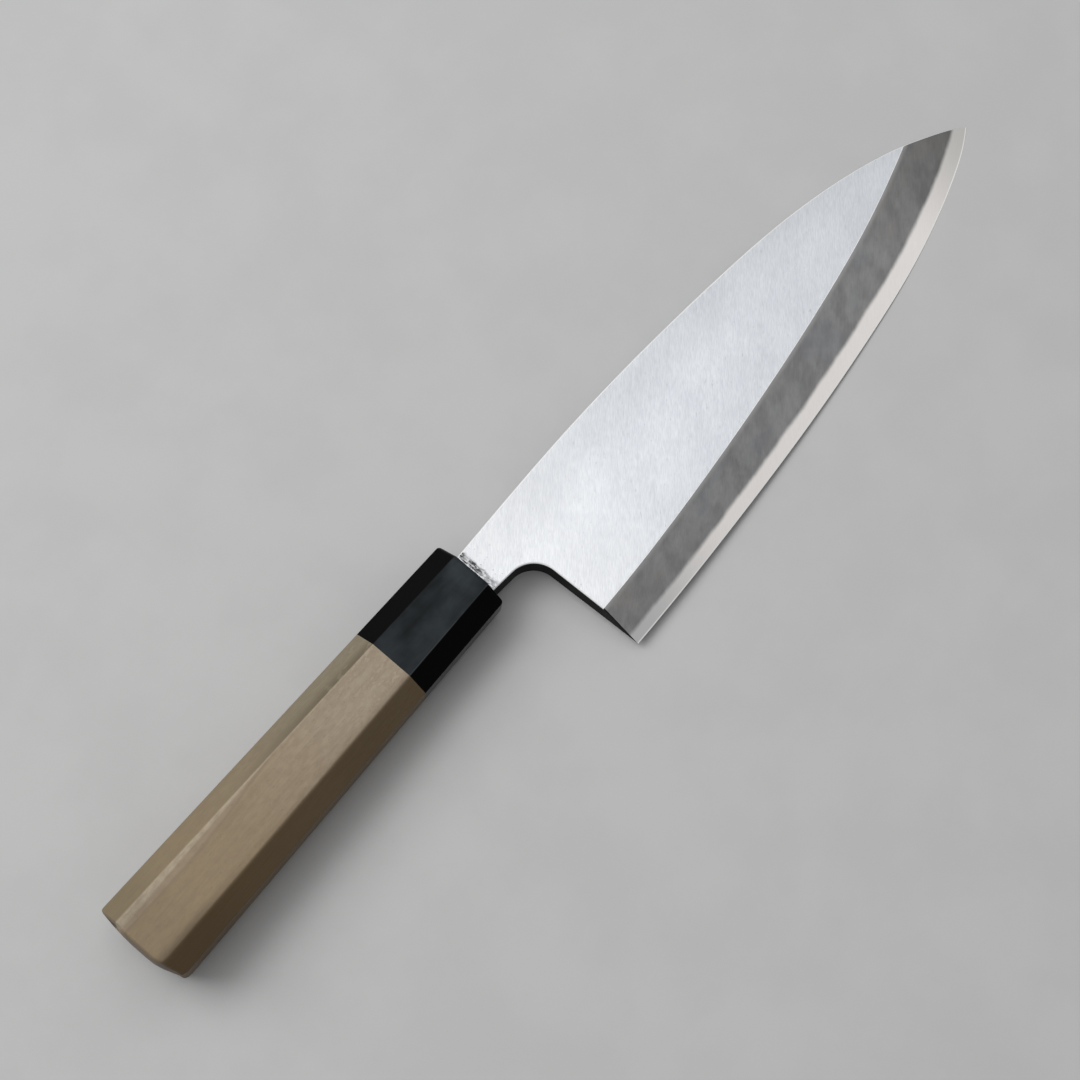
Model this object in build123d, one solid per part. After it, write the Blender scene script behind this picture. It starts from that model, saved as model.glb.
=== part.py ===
from build123d import *
import os
from math import atan2, degrees

# The knife is drawn in its own axes: the handle along X with the point ahead, the spine at +Y
# and the bevelled side at +Z. X starts at the front of the ferrule, Y and Z at the handle's middle.
# The finished pieces are then laid down together as the knife rests on a table.

# Outline of the blade, seen from its bevelled side
blade_run = 178.9
heel_reach = 16.8
heel_depth = 46.5
heel_slant = 1.9
spine_rise = 7.0
point_drop = 20.5
neck_spine = 6.0
neck_edge = 7.3
neck_drop = 1.1
choil_radius = 8.8

# Thickness of the blade, from its flat back to its bevelled side
neck_thickness = 8.0
ridge_thickness = 5.9
meeting_thickness = 2.9
back_depth = 4.0
choil_lean = 0.85

# Grey bevel, from the cutting edge up to the ridge
bevel_width = 13.1
bevel_widest = 17.85

# Hard steel layer on the back
steel_thickness = 1.45
steel_point_thickness = 0.75
steel_start = 8.0

# Hollow ground into the back
hollow_depth = 0.5
hollow_rim = 3.2
hollow_heel_gap = 5.0

# Tang
tang_length = 96.0
tang_end_height = 7.0
tang_end_thickness = 3.2
tang_shoulder = 0.4
tang_root = 2.0

# Handle and ferrule, eight-sided and thicker towards the butt
handle_length = 134.8
ferrule_length = 33.3
front_half_height = 11.75
front_half_thickness = 10.45
butt_half_height = 14.1
butt_half_thickness = 12.1
facet_cut = 5.8
ferrule_round = 1.6
butt_crown = 1.6
butt_round = 1.4

# Tenon of the handle inside the ferrule
tenon_length = 20.0
tenon_half_height = 9.2
tenon_half_thickness = 7.6
tenon_facet_cut = 3.6
glue_film = 0.15

# Resin bed round the tang, and the seal that closes the ferrule's mouth
bed_thickness = 0.8
bed_end_gap = 1.5
seal_depth = 3.0

# Weights, in grams per cubic centimetre, that decide how the knife lies
iron_density = 7.85
wood_density = 0.5
horn_density = 1.3

# Length by which a cutting shape runs past what it cuts
overrun = 12.0

# Places tried along the cutting edge for the one it rests on
rest_places = 200

point_reach = heel_reach + blade_run
spine_fall = spine_rise + point_drop
edge_rise = heel_depth - point_drop
joint_x = -ferrule_length

# Spine: share of the way from the ferrule to the point, and share of the fall to the point
spine_shares = [
    (0.229, 0.0),
    (0.394, 0.029),
    (0.554, 0.107),
    (0.694, 0.221),
    (0.8145, 0.405),
    (0.904, 0.624),
    (0.951, 0.784),
    (0.981, 0.904),
    (1.0, 1.0),
]

# Cutting edge: share of the way from the heel to the point, share of the rise to the point,
# and share of the bevel's widening from the heel to its widest place. The first and the last
# row lie past the blade.
edge_shares = [
    (-0.12, 0.0, 0.0),
    (0.0, 0.0, 0.0),
    (0.238, 0.054, 0.204),
    (0.468, 0.163, 0.537),
    (0.638, 0.294, 0.768),
    (0.742, 0.405, 0.916),
    (0.848, 0.577, 1.0),
    (0.921, 0.738, 0.99),
    (0.958, 0.84, 0.95),
    (1.0, 1.0, 0.86),
    (1.05, 1.27, 0.75),
]

# Place where the ridge runs out into the spine, as shares of the reach and of the spine's fall
meeting_shares = (0.905, 0.64)

# Hollow of the back: share of the way from the heel to the point, and share of its full depth
hollow_shares = [
    (0.0, 0.1),
    (0.12, 0.85),
    (0.3, 1.0),
    (0.5, 0.85),
    (0.7, 0.6),
    (0.84, 0.3),
]

# Share by which the bevel's cutting shape runs past the edge and past the ridge
bevel_overrun_share = 0.5


def spine_points():
    """Points along the spine, from the place of its full height to the point."""
    return [
        (point_reach * run, spine_rise - spine_fall * fall)
        for run, fall in spine_shares
    ]


def edge_points():
    """Points along the cutting edge, the bevel's width at each, in order along the blade."""
    widening = bevel_widest - bevel_width
    return [
        (heel_reach + blade_run * run, edge_rise * rise - heel_depth, bevel_width + widening * wide)
        for run, rise, wide in edge_shares
    ]


def height_at(points, x):
    """Height of a line of points at x, straight from point to point."""
    for (x0, y0), (x1, y1) in zip(points, points[1:]):
        if x0 <= x <= x1:
            return y0 + (y1 - y0) * (x - x0) / (x1 - x0)
    return points[0][1] if x < points[0][0] else points[-1][1]


def flat_face_plane():
    """Plane of the flat face, through the neck's spine, the heel's ridge and the ridge's far end."""
    run, fall = meeting_shares
    neck = Vector(0, neck_spine, neck_thickness - back_depth)
    heel = Vector(heel_reach, bevel_width - heel_depth, ridge_thickness - back_depth)
    far = Vector(point_reach * run, spine_rise - spine_fall * fall, meeting_thickness - back_depth)
    return Plane(origin=neck, x_dir=far - neck, z_dir=(heel - neck).cross(far - neck))


def face_height(plane, x, y):
    """Height of the flat face's plane above the point x, y."""
    normal = plane.z_dir
    origin = plane.origin
    return origin.Z - (normal.X * (x - origin.X) + normal.Y * (y - origin.Y)) / normal.Z


def blade_blank():
    """Full-thickness blank: the spine is final, and the edge side is left broad."""
    points = [Vector(-tang_root, neck_spine)] + [Vector(*point) for point in spine_points()]
    leaving = points[1] - points[0]
    arriving = points[-1] - points[-2]
    start = points[0]
    past = points[-1] + arriving
    low = -heel_depth - overrun
    spine = Spline(*points, past, tangents=[leaving.normalized(), arriving.normalized()])
    rest = Polyline(past, (past.X, low), (start.X, low), start)
    outline = make_face(spine + rest)
    return Pos(0, 0, -back_depth) * extrude(outline, neck_thickness + overrun)


def bevel_cutter(plane):
    """Everything above the bevel, from past the back to past the ridge, as a loft along the blade."""
    far_side = -heel_depth - overrun * 2
    sections = []
    for x, y, width in edge_points():
        edge = Vector(x, y, -back_depth)
        ridge = Vector(x, y + width, face_height(plane, x, y + width))
        slope = (ridge - edge) * bevel_overrun_share
        low = edge - slope
        high = ridge + slope
        corners = [low, high, Vector(x, far_side, high.Z), Vector(x, far_side, low.Z)]
        sections.append(make_face(Polyline(*corners, close=True)))
    return loft(sections)


def choil_cutter():
    """Space behind the heel and under the neck, with a rounded corner and leaning walls."""
    lean_angle = degrees(atan2(choil_lean, neck_thickness))
    heel = Vector(heel_reach + choil_lean, -heel_depth)
    corner = Vector(heel.X - heel_slant, -neck_edge - neck_drop)
    root = Vector(0, -neck_edge)
    behind = root + (root - corner)
    below = heel + (heel - corner)
    profile = make_face(Polyline(behind, corner, below, (behind.X, below.Y), close=True))
    sharp = profile.vertices().sort_by_distance(corner)[0]
    profile = fillet(sharp, choil_radius)
    top = neck_thickness - back_depth
    cutter = Pos(0, 0, top) * extrude(profile, -neck_thickness * 2, taper=lean_angle)
    return cutter + Pos(0, 0, top) * extrude(profile, overrun)


def back_hollow():
    """Shallow hollow ground into the back, an arc across the blade at each station."""
    edge = [(x, y) for x, y, width in edge_points()]
    spine = spine_points()
    sections = []
    for run, depth_share in hollow_shares:
        x = heel_reach + hollow_heel_gap + (blade_run - hollow_heel_gap) * run
        low = height_at(edge, x) + hollow_rim
        high = height_at(spine, x) - hollow_rim
        middle = (low + high) / 2
        depth = hollow_depth * depth_share
        face = Plane(origin=(x, 0, -back_depth), x_dir=(0, 1, 0), z_dir=(1, 0, 0))
        arc = ThreePointArc((low, 0), (middle, depth), (high, 0))
        under = Polyline((high, 0), (high, -hollow_depth), (low, -hollow_depth), (low, 0))
        sections.append(face * make_face(arc + under))
    return loft(sections)


def rectangle_at(x, low_y, high_y, low_z, high_z):
    """Upright rectangle across the X axis."""
    corners = [(x, low_y, low_z), (x, high_y, low_z), (x, high_y, high_z), (x, low_y, high_z)]
    return make_face(Polyline(*corners, close=True))


def tapered_bar(front_x, back_x, margin):
    """Bar that follows the tang, larger all round by a margin, between two places along X."""
    sections = []
    root_top = face_height(flat_face_plane(), tang_root, -neck_edge) - tang_shoulder
    for x in (front_x, back_x):
        share = (tang_root - x) / (tang_root + tang_length)
        low_y = -neck_edge + tang_shoulder
        high_y = neck_spine - tang_shoulder
        low_z = -back_depth + tang_shoulder
        middle_y = (low_y + high_y) / 2
        low_y += (middle_y - tang_end_height / 2 - low_y) * share
        high_y += (middle_y + tang_end_height / 2 - high_y) * share
        low_z += (-tang_end_thickness / 2 - low_z) * share
        high_z = root_top + (tang_end_thickness / 2 - root_top) * share
        sections.append(
            rectangle_at(x, low_y - margin, high_y + margin, low_z - margin, high_z + margin)
        )
    return loft(sections, ruled=True)


def whole_blade():
    """Blade and tang in one, before the hard steel is told apart."""
    plane = flat_face_plane()
    blade = split(blade_blank(), bisect_by=plane, keep=Keep.BOTTOM)
    blade = blade - bevel_cutter(plane)
    blade = blade - choil_cutter()
    blade = split(blade, bisect_by=Plane.YZ, keep=Keep.TOP)
    blade = blade + tapered_bar(tang_root, -tang_length, 0)
    return blade - back_hollow()


def steel_layer():
    """Wedge along the back, from behind the choil to the point, that the hard steel fills."""
    slope = (steel_thickness - steel_point_thickness) / blade_run
    start_top = steel_thickness + slope * (heel_reach - steel_start)
    end_x = point_reach + overrun
    end_top = steel_point_thickness - slope * overrun
    low = -back_depth - overrun
    profile = make_face(
        Polyline(
            (steel_start, 0, low),
            (end_x, 0, low),
            (end_x, 0, end_top - back_depth),
            (steel_start, 0, start_top - back_depth),
            close=True,
        )
    )
    return extrude(profile, heel_depth * 2, both=True)


def octagon_corners(x, half_height, half_thickness, cut):
    """Corners of an eight-sided outline across the X axis, cut equally along both sides."""
    flat_y = half_height - cut
    flat_z = half_thickness - cut
    return [
        (x, half_height, -flat_z),
        (x, half_height, flat_z),
        (x, flat_y, half_thickness),
        (x, -flat_y, half_thickness),
        (x, -half_height, flat_z),
        (x, -half_height, -flat_z),
        (x, -flat_y, -half_thickness),
        (x, flat_y, -half_thickness),
    ]


def handle_halves(x):
    """Half the height and half the thickness of the handle at x."""
    share = -x / handle_length
    half_height = front_half_height + (butt_half_height - front_half_height) * share
    half_thickness = front_half_thickness + (butt_half_thickness - front_half_thickness) * share
    return half_height, half_thickness


def handle_stretch(front_x, back_x):
    """Stretch of the eight-sided handle between two places along X, with crisp edges."""
    front, back = [
        octagon_corners(x, *handle_halves(x), facet_cut) for x in (front_x, back_x)
    ]
    outlines = [front, back]
    for number, corner in enumerate(front):
        outlines.append([front[number - 1], corner, back[number], back[number - 1]])
    faces = [make_face(Polyline(*outline, close=True)).face() for outline in outlines]
    return Solid(Shell(faces))


def tenon(margin):
    """Tenon inside the ferrule, larger by a margin for the socket that takes it."""
    corners = octagon_corners(
        joint_x,
        tenon_half_height + margin,
        tenon_half_thickness + margin,
        tenon_facet_cut,
    )
    face = make_face(Polyline(*corners, close=True))
    return extrude(face, tenon_length + margin, dir=(1, 0, 0))


def tang_channel():
    """Tapered channel for the tang, through the ferrule and deep into the handle."""
    return tapered_bar(tang_root, -tang_length - bed_end_gap, bed_thickness)


def ferrule_piece():
    """Horn ferrule with its rounded front, its slot and its socket for the tenon."""
    body = handle_stretch(0, joint_x)
    front = body.faces().sort_by(Axis.X)[-1]
    body = fillet(front.edges(), ferrule_round)
    return body - tenon(glue_film) - tang_channel()


def handle_piece():
    """Wooden handle with its crowned and rounded butt, its tenon and its channel."""
    body = handle_stretch(joint_x, -handle_length)
    crown_radius = (butt_half_height ** 2 + butt_crown ** 2) / (2 * butt_crown)
    crown = Sphere(crown_radius) + extrude(Plane.YZ * Circle(crown_radius), handle_length)
    body = body & (Pos(crown_radius - handle_length, 0, 0) * crown)
    butt = body.faces().sort_by(Axis.X)[0]
    body = fillet(butt.edges(), butt_round)
    return body + tenon(0) - tang_channel()


def glue_piece():
    """Film of glue between the tenon and the ferrule's socket."""
    return tenon(glue_film) - tenon(0) - tang_channel()


def bed_piece(blade):
    """Resin that fills the channel round the tang, behind the mouth's seal."""
    channel = split(tang_channel(), bisect_by=Plane.YZ.offset(-seal_depth), keep=Keep.BOTTOM)
    return channel - blade


def seal_piece(blade):
    """Seal round the neck that closes the ferrule's mouth, level with its front."""
    plug = split(tang_channel(), bisect_by=Plane.YZ.offset(-seal_depth), keep=Keep.TOP)
    return split(plug, bisect_by=Plane.YZ, keep=Keep.BOTTOM) - blade


def weight_centre(pieces, densities):
    """Centre of weight of solids with given densities."""
    total = 0
    moment = Vector(0, 0, 0)
    for piece, density in zip(pieces, densities):
        weight = piece.volume * density
        total += weight
        moment += piece.center(CenterOf.MASS) * weight
    return moment / total


def resting_location(centre):
    """Where the knife comes to lie: on the ferrule's lower corner and on one place of its edge.

    The table touches the edge along its own direction there, and the centre of weight stands
    over the line between both places.
    """
    half_height, half_thickness = handle_halves(-ferrule_round)
    foot = Vector(-ferrule_round, facet_cut - half_height, -half_thickness)
    line = Spline(*[(x, y, -back_depth) for x, y, width in edge_points()[1:-1]])
    tries = []
    for count in range(rest_places + 1):
        share = count / rest_places
        place = line @ share
        normal = (line % share).cross(foot - place).normalized()
        if normal.Z < 0:
            normal = -normal
        miss = abs((centre - foot).dot(normal.cross(place - foot).normalized()))
        tries.append((miss, normal))
    miss, normal = min(tries, key=lambda tried: tried[0])
    forward = Vector(1, 0, 0) - normal * normal.X
    return Plane(origin=foot, x_dir=forward, z_dir=normal).location.inverse()


def build_pieces():
    """All the knife's pieces by name, in the knife's own axes."""
    blade = whole_blade()
    layer = steel_layer()
    pieces = {
        "blade_body": blade - layer,
        "cutting_steel": blade & layer,
        "ferrule": ferrule_piece(),
        "handle_body": handle_piece(),
        "ferrule_glue": glue_piece(),
        "tang_bed": bed_piece(blade),
        "mouth_seal": seal_piece(blade),
    }
    return pieces


def main():
    os.makedirs("parts", exist_ok=True)
    pieces = build_pieces()
    densities = {"ferrule": horn_density, "handle_body": wood_density}
    heavy = ["blade_body", "cutting_steel", "ferrule", "handle_body"]
    centre = weight_centre(
        [pieces[name] for name in heavy],
        [densities.get(name, iron_density) for name in heavy],
    )
    laid = resting_location(centre)
    lying = {name: laid * piece for name, piece in pieces.items()}
    boxes = [piece.bounding_box() for piece in lying.values()]
    low = [min(getattr(box.min, axis) for box in boxes) for axis in "XYZ"]
    high = [max(getattr(box.max, axis) for box in boxes) for axis in "XYZ"]
    to_origin = Pos(-(low[0] + high[0]) / 2, -(low[1] + high[1]) / 2, -low[2])
    for name, piece in lying.items():
        export_step(to_origin * piece, f"parts/{name}.step")
    print("Centre of weight in the knife's own axes:", centre)
    print("From the knife's own axes to the resting knife:", to_origin * laid)
    print("Box, mm:", [end - start for start, end in zip(low, high)])


main()
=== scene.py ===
import logging
import math
from collections.abc import Callable
from dataclasses import dataclass
from enum import Enum

import bmesh
import bpy
import numpy as np
from mathutils import Matrix, Vector, noise


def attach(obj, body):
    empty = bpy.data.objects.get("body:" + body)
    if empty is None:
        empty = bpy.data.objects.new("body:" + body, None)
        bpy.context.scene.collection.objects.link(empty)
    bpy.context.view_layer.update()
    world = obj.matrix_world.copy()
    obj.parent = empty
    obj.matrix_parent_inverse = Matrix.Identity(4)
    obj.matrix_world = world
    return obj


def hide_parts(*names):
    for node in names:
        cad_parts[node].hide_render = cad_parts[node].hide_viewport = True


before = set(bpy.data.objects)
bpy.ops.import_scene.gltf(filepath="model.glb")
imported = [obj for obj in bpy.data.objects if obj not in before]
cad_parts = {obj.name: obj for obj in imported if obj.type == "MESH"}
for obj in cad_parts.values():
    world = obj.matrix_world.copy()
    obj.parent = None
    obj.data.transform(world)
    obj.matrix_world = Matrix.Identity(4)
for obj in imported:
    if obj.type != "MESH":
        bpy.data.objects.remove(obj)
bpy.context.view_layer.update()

log = logging.getLogger("deba")

Point = tuple[float, float, float]
Colour = tuple[float, float, float]
Span = tuple[float, float]
Ramp = tuple[float, float, float, float]
Box = tuple[float, float, float, float]
Columns = list[list[Point]]
Rule = Callable[[float, float, float], float]
Socket = bpy.types.NodeSocket

# Sizes below are in millimetres, in the knife's own axes: X from the ferrule's front to the point,
# Y up to the spine, Z up from the flat back to the bevelled side.
MM = 0.001
# How the knife rests on the bench: turned about its own X by the roll, then about Y by the pitch,
# both in degrees, with the middle of the ferrule's front at this place of the frame.
LYING_ROLL = 4.14084078
LYING_PITCH = 1.53608485
LYING_PLACE = (-30.3544371, 15.8137249, 10.8275234)
# Range in which nearly all of a grain's values lie, and its middle.
GRAIN_SPAN = (0.3, 0.7)
GRAIN_MIDDLE = 0.5
# Turn of the lines that the blade's bevelled side is ground in, in degrees.
GRIND_TURN = 41.0


class Finish(Enum):
    """Finishes that the faces of the knife take."""

    GROUND = "ground_iron"
    HONED = "honed_bevel"
    # Eased edges and the line above the ridge: polished, with a painted highlight in their near-white colour.
    LINE = "polished_edges"
    SPINE = "ground_spine"
    WALL = "dark_choil"
    BACK = "stoned_back"
    FORGED = "forged_tang"
    HORN = "black_horn"
    WOOD = "pale_magnolia"
    END_GRAIN = "magnolia_end_grain"
    RESIN = "set_resin"
    BENCH = "pale_bench"


def laid(roll: float, pitch: float, place: Point) -> Matrix:
    """Works out the move from the knife's own axes to the knife at rest.

    Args:
        roll: Turn about X in degrees, which comes first.
        pitch: Turn about Y in degrees.
        place: Where the origin goes, in millimetres.

    Returns:
        The matrix, in metres.
    """
    c, s = math.cos(math.radians(pitch)), math.sin(math.radians(pitch))
    cr, sr = math.cos(math.radians(roll)), math.sin(math.radians(roll))
    x, y, z = (MM * value for value in place)
    return Matrix(((c, s * sr, s * cr, x), (0, cr, -sr, y), (-s, c * sr, c * cr, z), (0, 0, 0, 1)))


LYING = laid(LYING_ROLL, LYING_PITCH, LYING_PLACE)
Wardrobe = dict[Finish, bpy.types.Material]


@dataclass(frozen=True)
class Grain:
    """Cloudy noise: its lumps per metre, the turn and stretch of its lines, and its finer layers."""

    scale: float
    turn: float = 0.0
    stretch: Point = (1, 1, 1)
    detail: float = 3
    rough: float = 0.5


class Sketch:
    """Node tree of one finish, with short ways to add what the finishes need."""

    def __init__(self, name: str) -> None:
        """Starts a material that holds one principled shader.

        Args:
            name: Name of the material.
        """
        self.material = bpy.data.materials.new(name)
        self.material.use_nodes = True
        self.tree = self.material.node_tree
        self.shader = self.tree.nodes["Principled BSDF"]

    def feed(self, socket: Socket, value: object) -> None:
        """Links a socket to another one, or sets its plain value.

        Args:
            socket: Input to feed.
            value: Output socket, number or tuple.
        """
        if isinstance(value, Socket):
            self.tree.links.new(value, socket)
        elif socket.type == "RGBA":
            socket.default_value = (*value, 1.0)
        else:
            socket.default_value = value

    def node(self, kind: str, inputs: dict[str, object] | None = None, **settings: object) -> bpy.types.Node:
        """Adds a node.

        Args:
            kind: Type name of the node.
            inputs: What feeds its inputs, by their names.
            **settings: Properties to set on it.

        Returns:
            The node.
        """
        made = self.tree.nodes.new(kind)
        for key, value in settings.items():
            setattr(made, key, value)
        for key, value in (inputs or {}).items():
            self.feed(made.inputs[key], value)
        return made

    def grain(self, grain: Grain) -> Socket:
        """Cloudy noise in the knife's own axes.

        Args:
            grain: The noise's sizes. Its turn is about Z and comes before its stretch.

        Returns:
            Value socket around 0.5.
        """
        upright = LYING.inverted()
        where = self.node("ShaderNodeTexCoord").outputs["Object"]
        for place in (
            {"Location": upright.to_translation(), "Rotation": upright.to_euler()},
            {"Rotation": (0, 0, -math.radians(grain.turn))},
            {"Scale": grain.stretch},
        ):
            where = self.node("ShaderNodeMapping", {**place, "Vector": where}).outputs["Vector"]
        sizes = {"Scale": grain.scale, "Detail": grain.detail, "Roughness": grain.rough}
        return self.node("ShaderNodeTexNoise", {**sizes, "Vector": where}).outputs["Fac"]

    def span(self, value: Socket, low: float, high: float, start: float = 0.0, end: float = 1.0) -> Socket:
        """Smoothly maps a value's span onto another, held at both ends.

        Args:
            value: Value socket.
            low: Value that gives start.
            high: Value that gives end.
            start: Result at low.
            end: Result at high.

        Returns:
            Value socket.
        """
        ends = {"From Min": low, "From Max": high, "To Min": start, "To Max": end}
        made = self.node("ShaderNodeMapRange", {**ends, "Value": value}, interpolation_type="SMOOTHSTEP")
        return made.outputs["Result"]

    def fade(self, grain: Socket, start: float = 0.0, end: float = 1.0) -> Socket:
        """Maps the usual range of a grain onto another."""
        return self.span(grain, *GRAIN_SPAN, start, end)

    def sum(self, kind: str, first: object, *others: object) -> Socket:
        """Arithmetic on values, from the left.

        Args:
            kind: Operation, such as ADD or MULTIPLY.
            first: Value socket or number.
            *others: Value sockets or numbers.

        Returns:
            Value socket.
        """
        for other in others:
            made = self.node("ShaderNodeMath", operation=kind)
            self.feed(made.inputs[0], first)
            self.feed(made.inputs[1], other)
            first = made.outputs[0]
        return first

    def swing(self, grain: Socket, reach: float) -> Socket:
        """Swings to both sides of 0 with a grain."""
        return self.sum("MULTIPLY", self.sum("SUBTRACT", grain, GRAIN_MIDDLE), reach)

    def blend(self, share: Socket, first: object, second: object, kind: str = "MIX") -> Socket:
        """Mixes two colours.

        Args:
            share: Share of the second colour.
            first: Colour socket or linear colour.
            second: Colour socket or linear colour.
            kind: Way of mixing.

        Returns:
            Colour socket.
        """
        made = self.node("ShaderNodeMix", {"Factor": share}, data_type="RGBA", blend_type=kind)
        for name, value in (("A", first), ("B", second)):
            self.feed([s for s in made.inputs if s.name == name and s.type == "RGBA"][0], value)
        return [s for s in made.outputs if s.type == "RGBA"][0]

    def tint(self, share: Socket, colour: Socket, tint: Colour) -> Socket:
        """Multiplies a colour by a tint, by a share."""
        return self.blend(share, colour, tint, "MULTIPLY")

    def own(self, name: str) -> Socket:
        """Value that the mesh carries at each vertex, by name."""
        return self.node("ShaderNodeAttribute", attribute_name=name).outputs["Fac"]

    def relief(self, height: Socket, depth: float, strength: float) -> None:
        """Raises the surface by a height of 0 to 1 times a depth in millimetres.

        Args:
            height: Value socket.
            depth: Depth in millimetres.
            strength: Share of the full effect.
        """
        made = self.node("ShaderNodeBump", {"Strength": strength, "Distance": depth * MM, "Height": height})
        self.feed(self.shader.inputs["Normal"], made.outputs["Normal"])

    def dress(self, colour: Socket, rough: object, metal: float = 0.0) -> bpy.types.Material:
        """Feeds the shader and returns the material.

        Args:
            colour: Colour socket.
            rough: Roughness, socket or number.
            metal: 1 for metal, 0 otherwise.

        Returns:
            The finished material.
        """
        self.feed(self.shader.inputs["Base Color"], colour)
        self.feed(self.shader.inputs["Roughness"], rough)
        self.shader.inputs["Metallic"].default_value = metal
        return self.material


@dataclass(frozen=True)
class GroundIron:
    """Bright iron, ground in fine lines across the blade."""

    name: str = Finish.GROUND.value
    light: Colour = (0.886, 0.899, 0.917)
    dark: Colour = (0.695, 0.713, 0.746)
    ahead_tint: Colour = (0.885, 0.903, 0.925)
    ahead_span: Span = (10.0, 75.0)
    spine_tint: Colour = (0.87, 0.87, 0.87)
    spine_span: Span = (-12.0, 4.0)
    speck: Colour = (0.42, 0.43, 0.45)
    speck_ramp: Ramp = (0.66, 0.78, 0, 0.4)
    lines: Grain = Grain(4200, GRIND_TURN, (0.11, 1, 1), 2, 0.6)
    line_share: float = 0.50
    broad: Grain = Grain(700, GRIND_TURN, (0.12, 1, 1))
    broad_ramp: Ramp = (0.35, 0.7, 0, 0.14)
    clouds: Grain = Grain(55, detail=2)
    cloud_ramp: Ramp = (0.35, 0.65, 0, 0.22)
    specks: Grain = Grain(1500, GRIND_TURN, (0.35, 1, 1), 2)
    rough: Span = (0.33, 0.41)
    relief: Span = (0.004, 0.4)
    scorched: Colour = (0.055, 0.055, 0.06)
    sway: Grain = Grain(330, detail=2)
    sway_reach: float = 1.6
    band_start: Span = (1.0, 1.5)
    band_end: Span = (3.3, 2.6)
    band_across: Ramp = (-4.5, 0.0, 0.5, 1.0)
    streaks: Grain = Grain(2600, 6, (1, 0.30, 1), 3, 0.65)
    streak_ramp: Ramp = (0.38, 0.50, 0.25, 1.0)
    patches: Grain = Grain(650, 0, (1, 0.5, 1), 2)
    patch_ramp: Ramp = (0.30, 0.46, 0.45, 1.0)
    fine_end: Span = (3.8, 2.2)
    fine_ramp: Ramp = (0.48, 0.58, 0.0, 0.7)
    dots: Grain = Grain(1500, detail=2)
    dot_end: Span = (9.0, 4.0)
    dot_ramp: Ramp = (0.66, 0.74, 0, 0.5)

    def material(self) -> bpy.types.Material:
        """Builds the material: grind lines, soft clouds, and scorched marks by the ferrule.

        Returns:
            The material.
        """
        art = Sketch(self.name)
        lines = art.grain(self.lines)
        broad = art.span(art.grain(self.broad), *self.broad_ramp)
        clouds = art.span(art.grain(self.clouds), *self.cloud_ramp)
        share = art.sum("ADD", art.fade(lines, 0, self.line_share), broad, clouds)
        colour = art.blend(share, self.light, self.dark)
        colour = art.tint(art.span(art.own("ahead"), *self.ahead_span), colour, self.ahead_tint)
        colour = art.tint(art.span(art.own("across"), *self.spine_span), colour, self.spine_tint)
        colour = art.blend(art.span(art.grain(self.specks), *self.speck_ramp), colour, self.speck)
        colour = art.blend(self.scorch(art), colour, self.scorched)
        art.relief(lines, *self.relief)
        return art.dress(colour, art.fade(lines, *self.rough), metal=1.0)

    def scorch(self, art: Sketch) -> Socket:
        """Dark marks in a narrow band just ahead of the ferrule.

        Args:
            art: Sketch that takes the nodes.

        Returns:
            Share of the dark marks.
        """
        ahead = art.sum("ADD", art.own("ahead"), art.swing(art.grain(self.sway), self.sway_reach))
        streaks = art.grain(self.streaks)
        strong = art.sum(
            "MULTIPLY", art.span(ahead, *self.band_start), art.span(ahead, *self.band_end),
            art.span(art.own("across"), *self.band_across), art.span(streaks, *self.streak_ramp),
            art.span(art.grain(self.patches), *self.patch_ramp),
        )
        fine = art.sum("MULTIPLY", art.span(ahead, *self.fine_end), art.span(streaks, *self.fine_ramp))
        dots = art.span(art.grain(self.dots), *self.dot_ramp)
        dots = art.sum("MULTIPLY", art.span(ahead, *self.dot_end), dots)
        return art.sum("MAXIMUM", strong, fine, dots)


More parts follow.
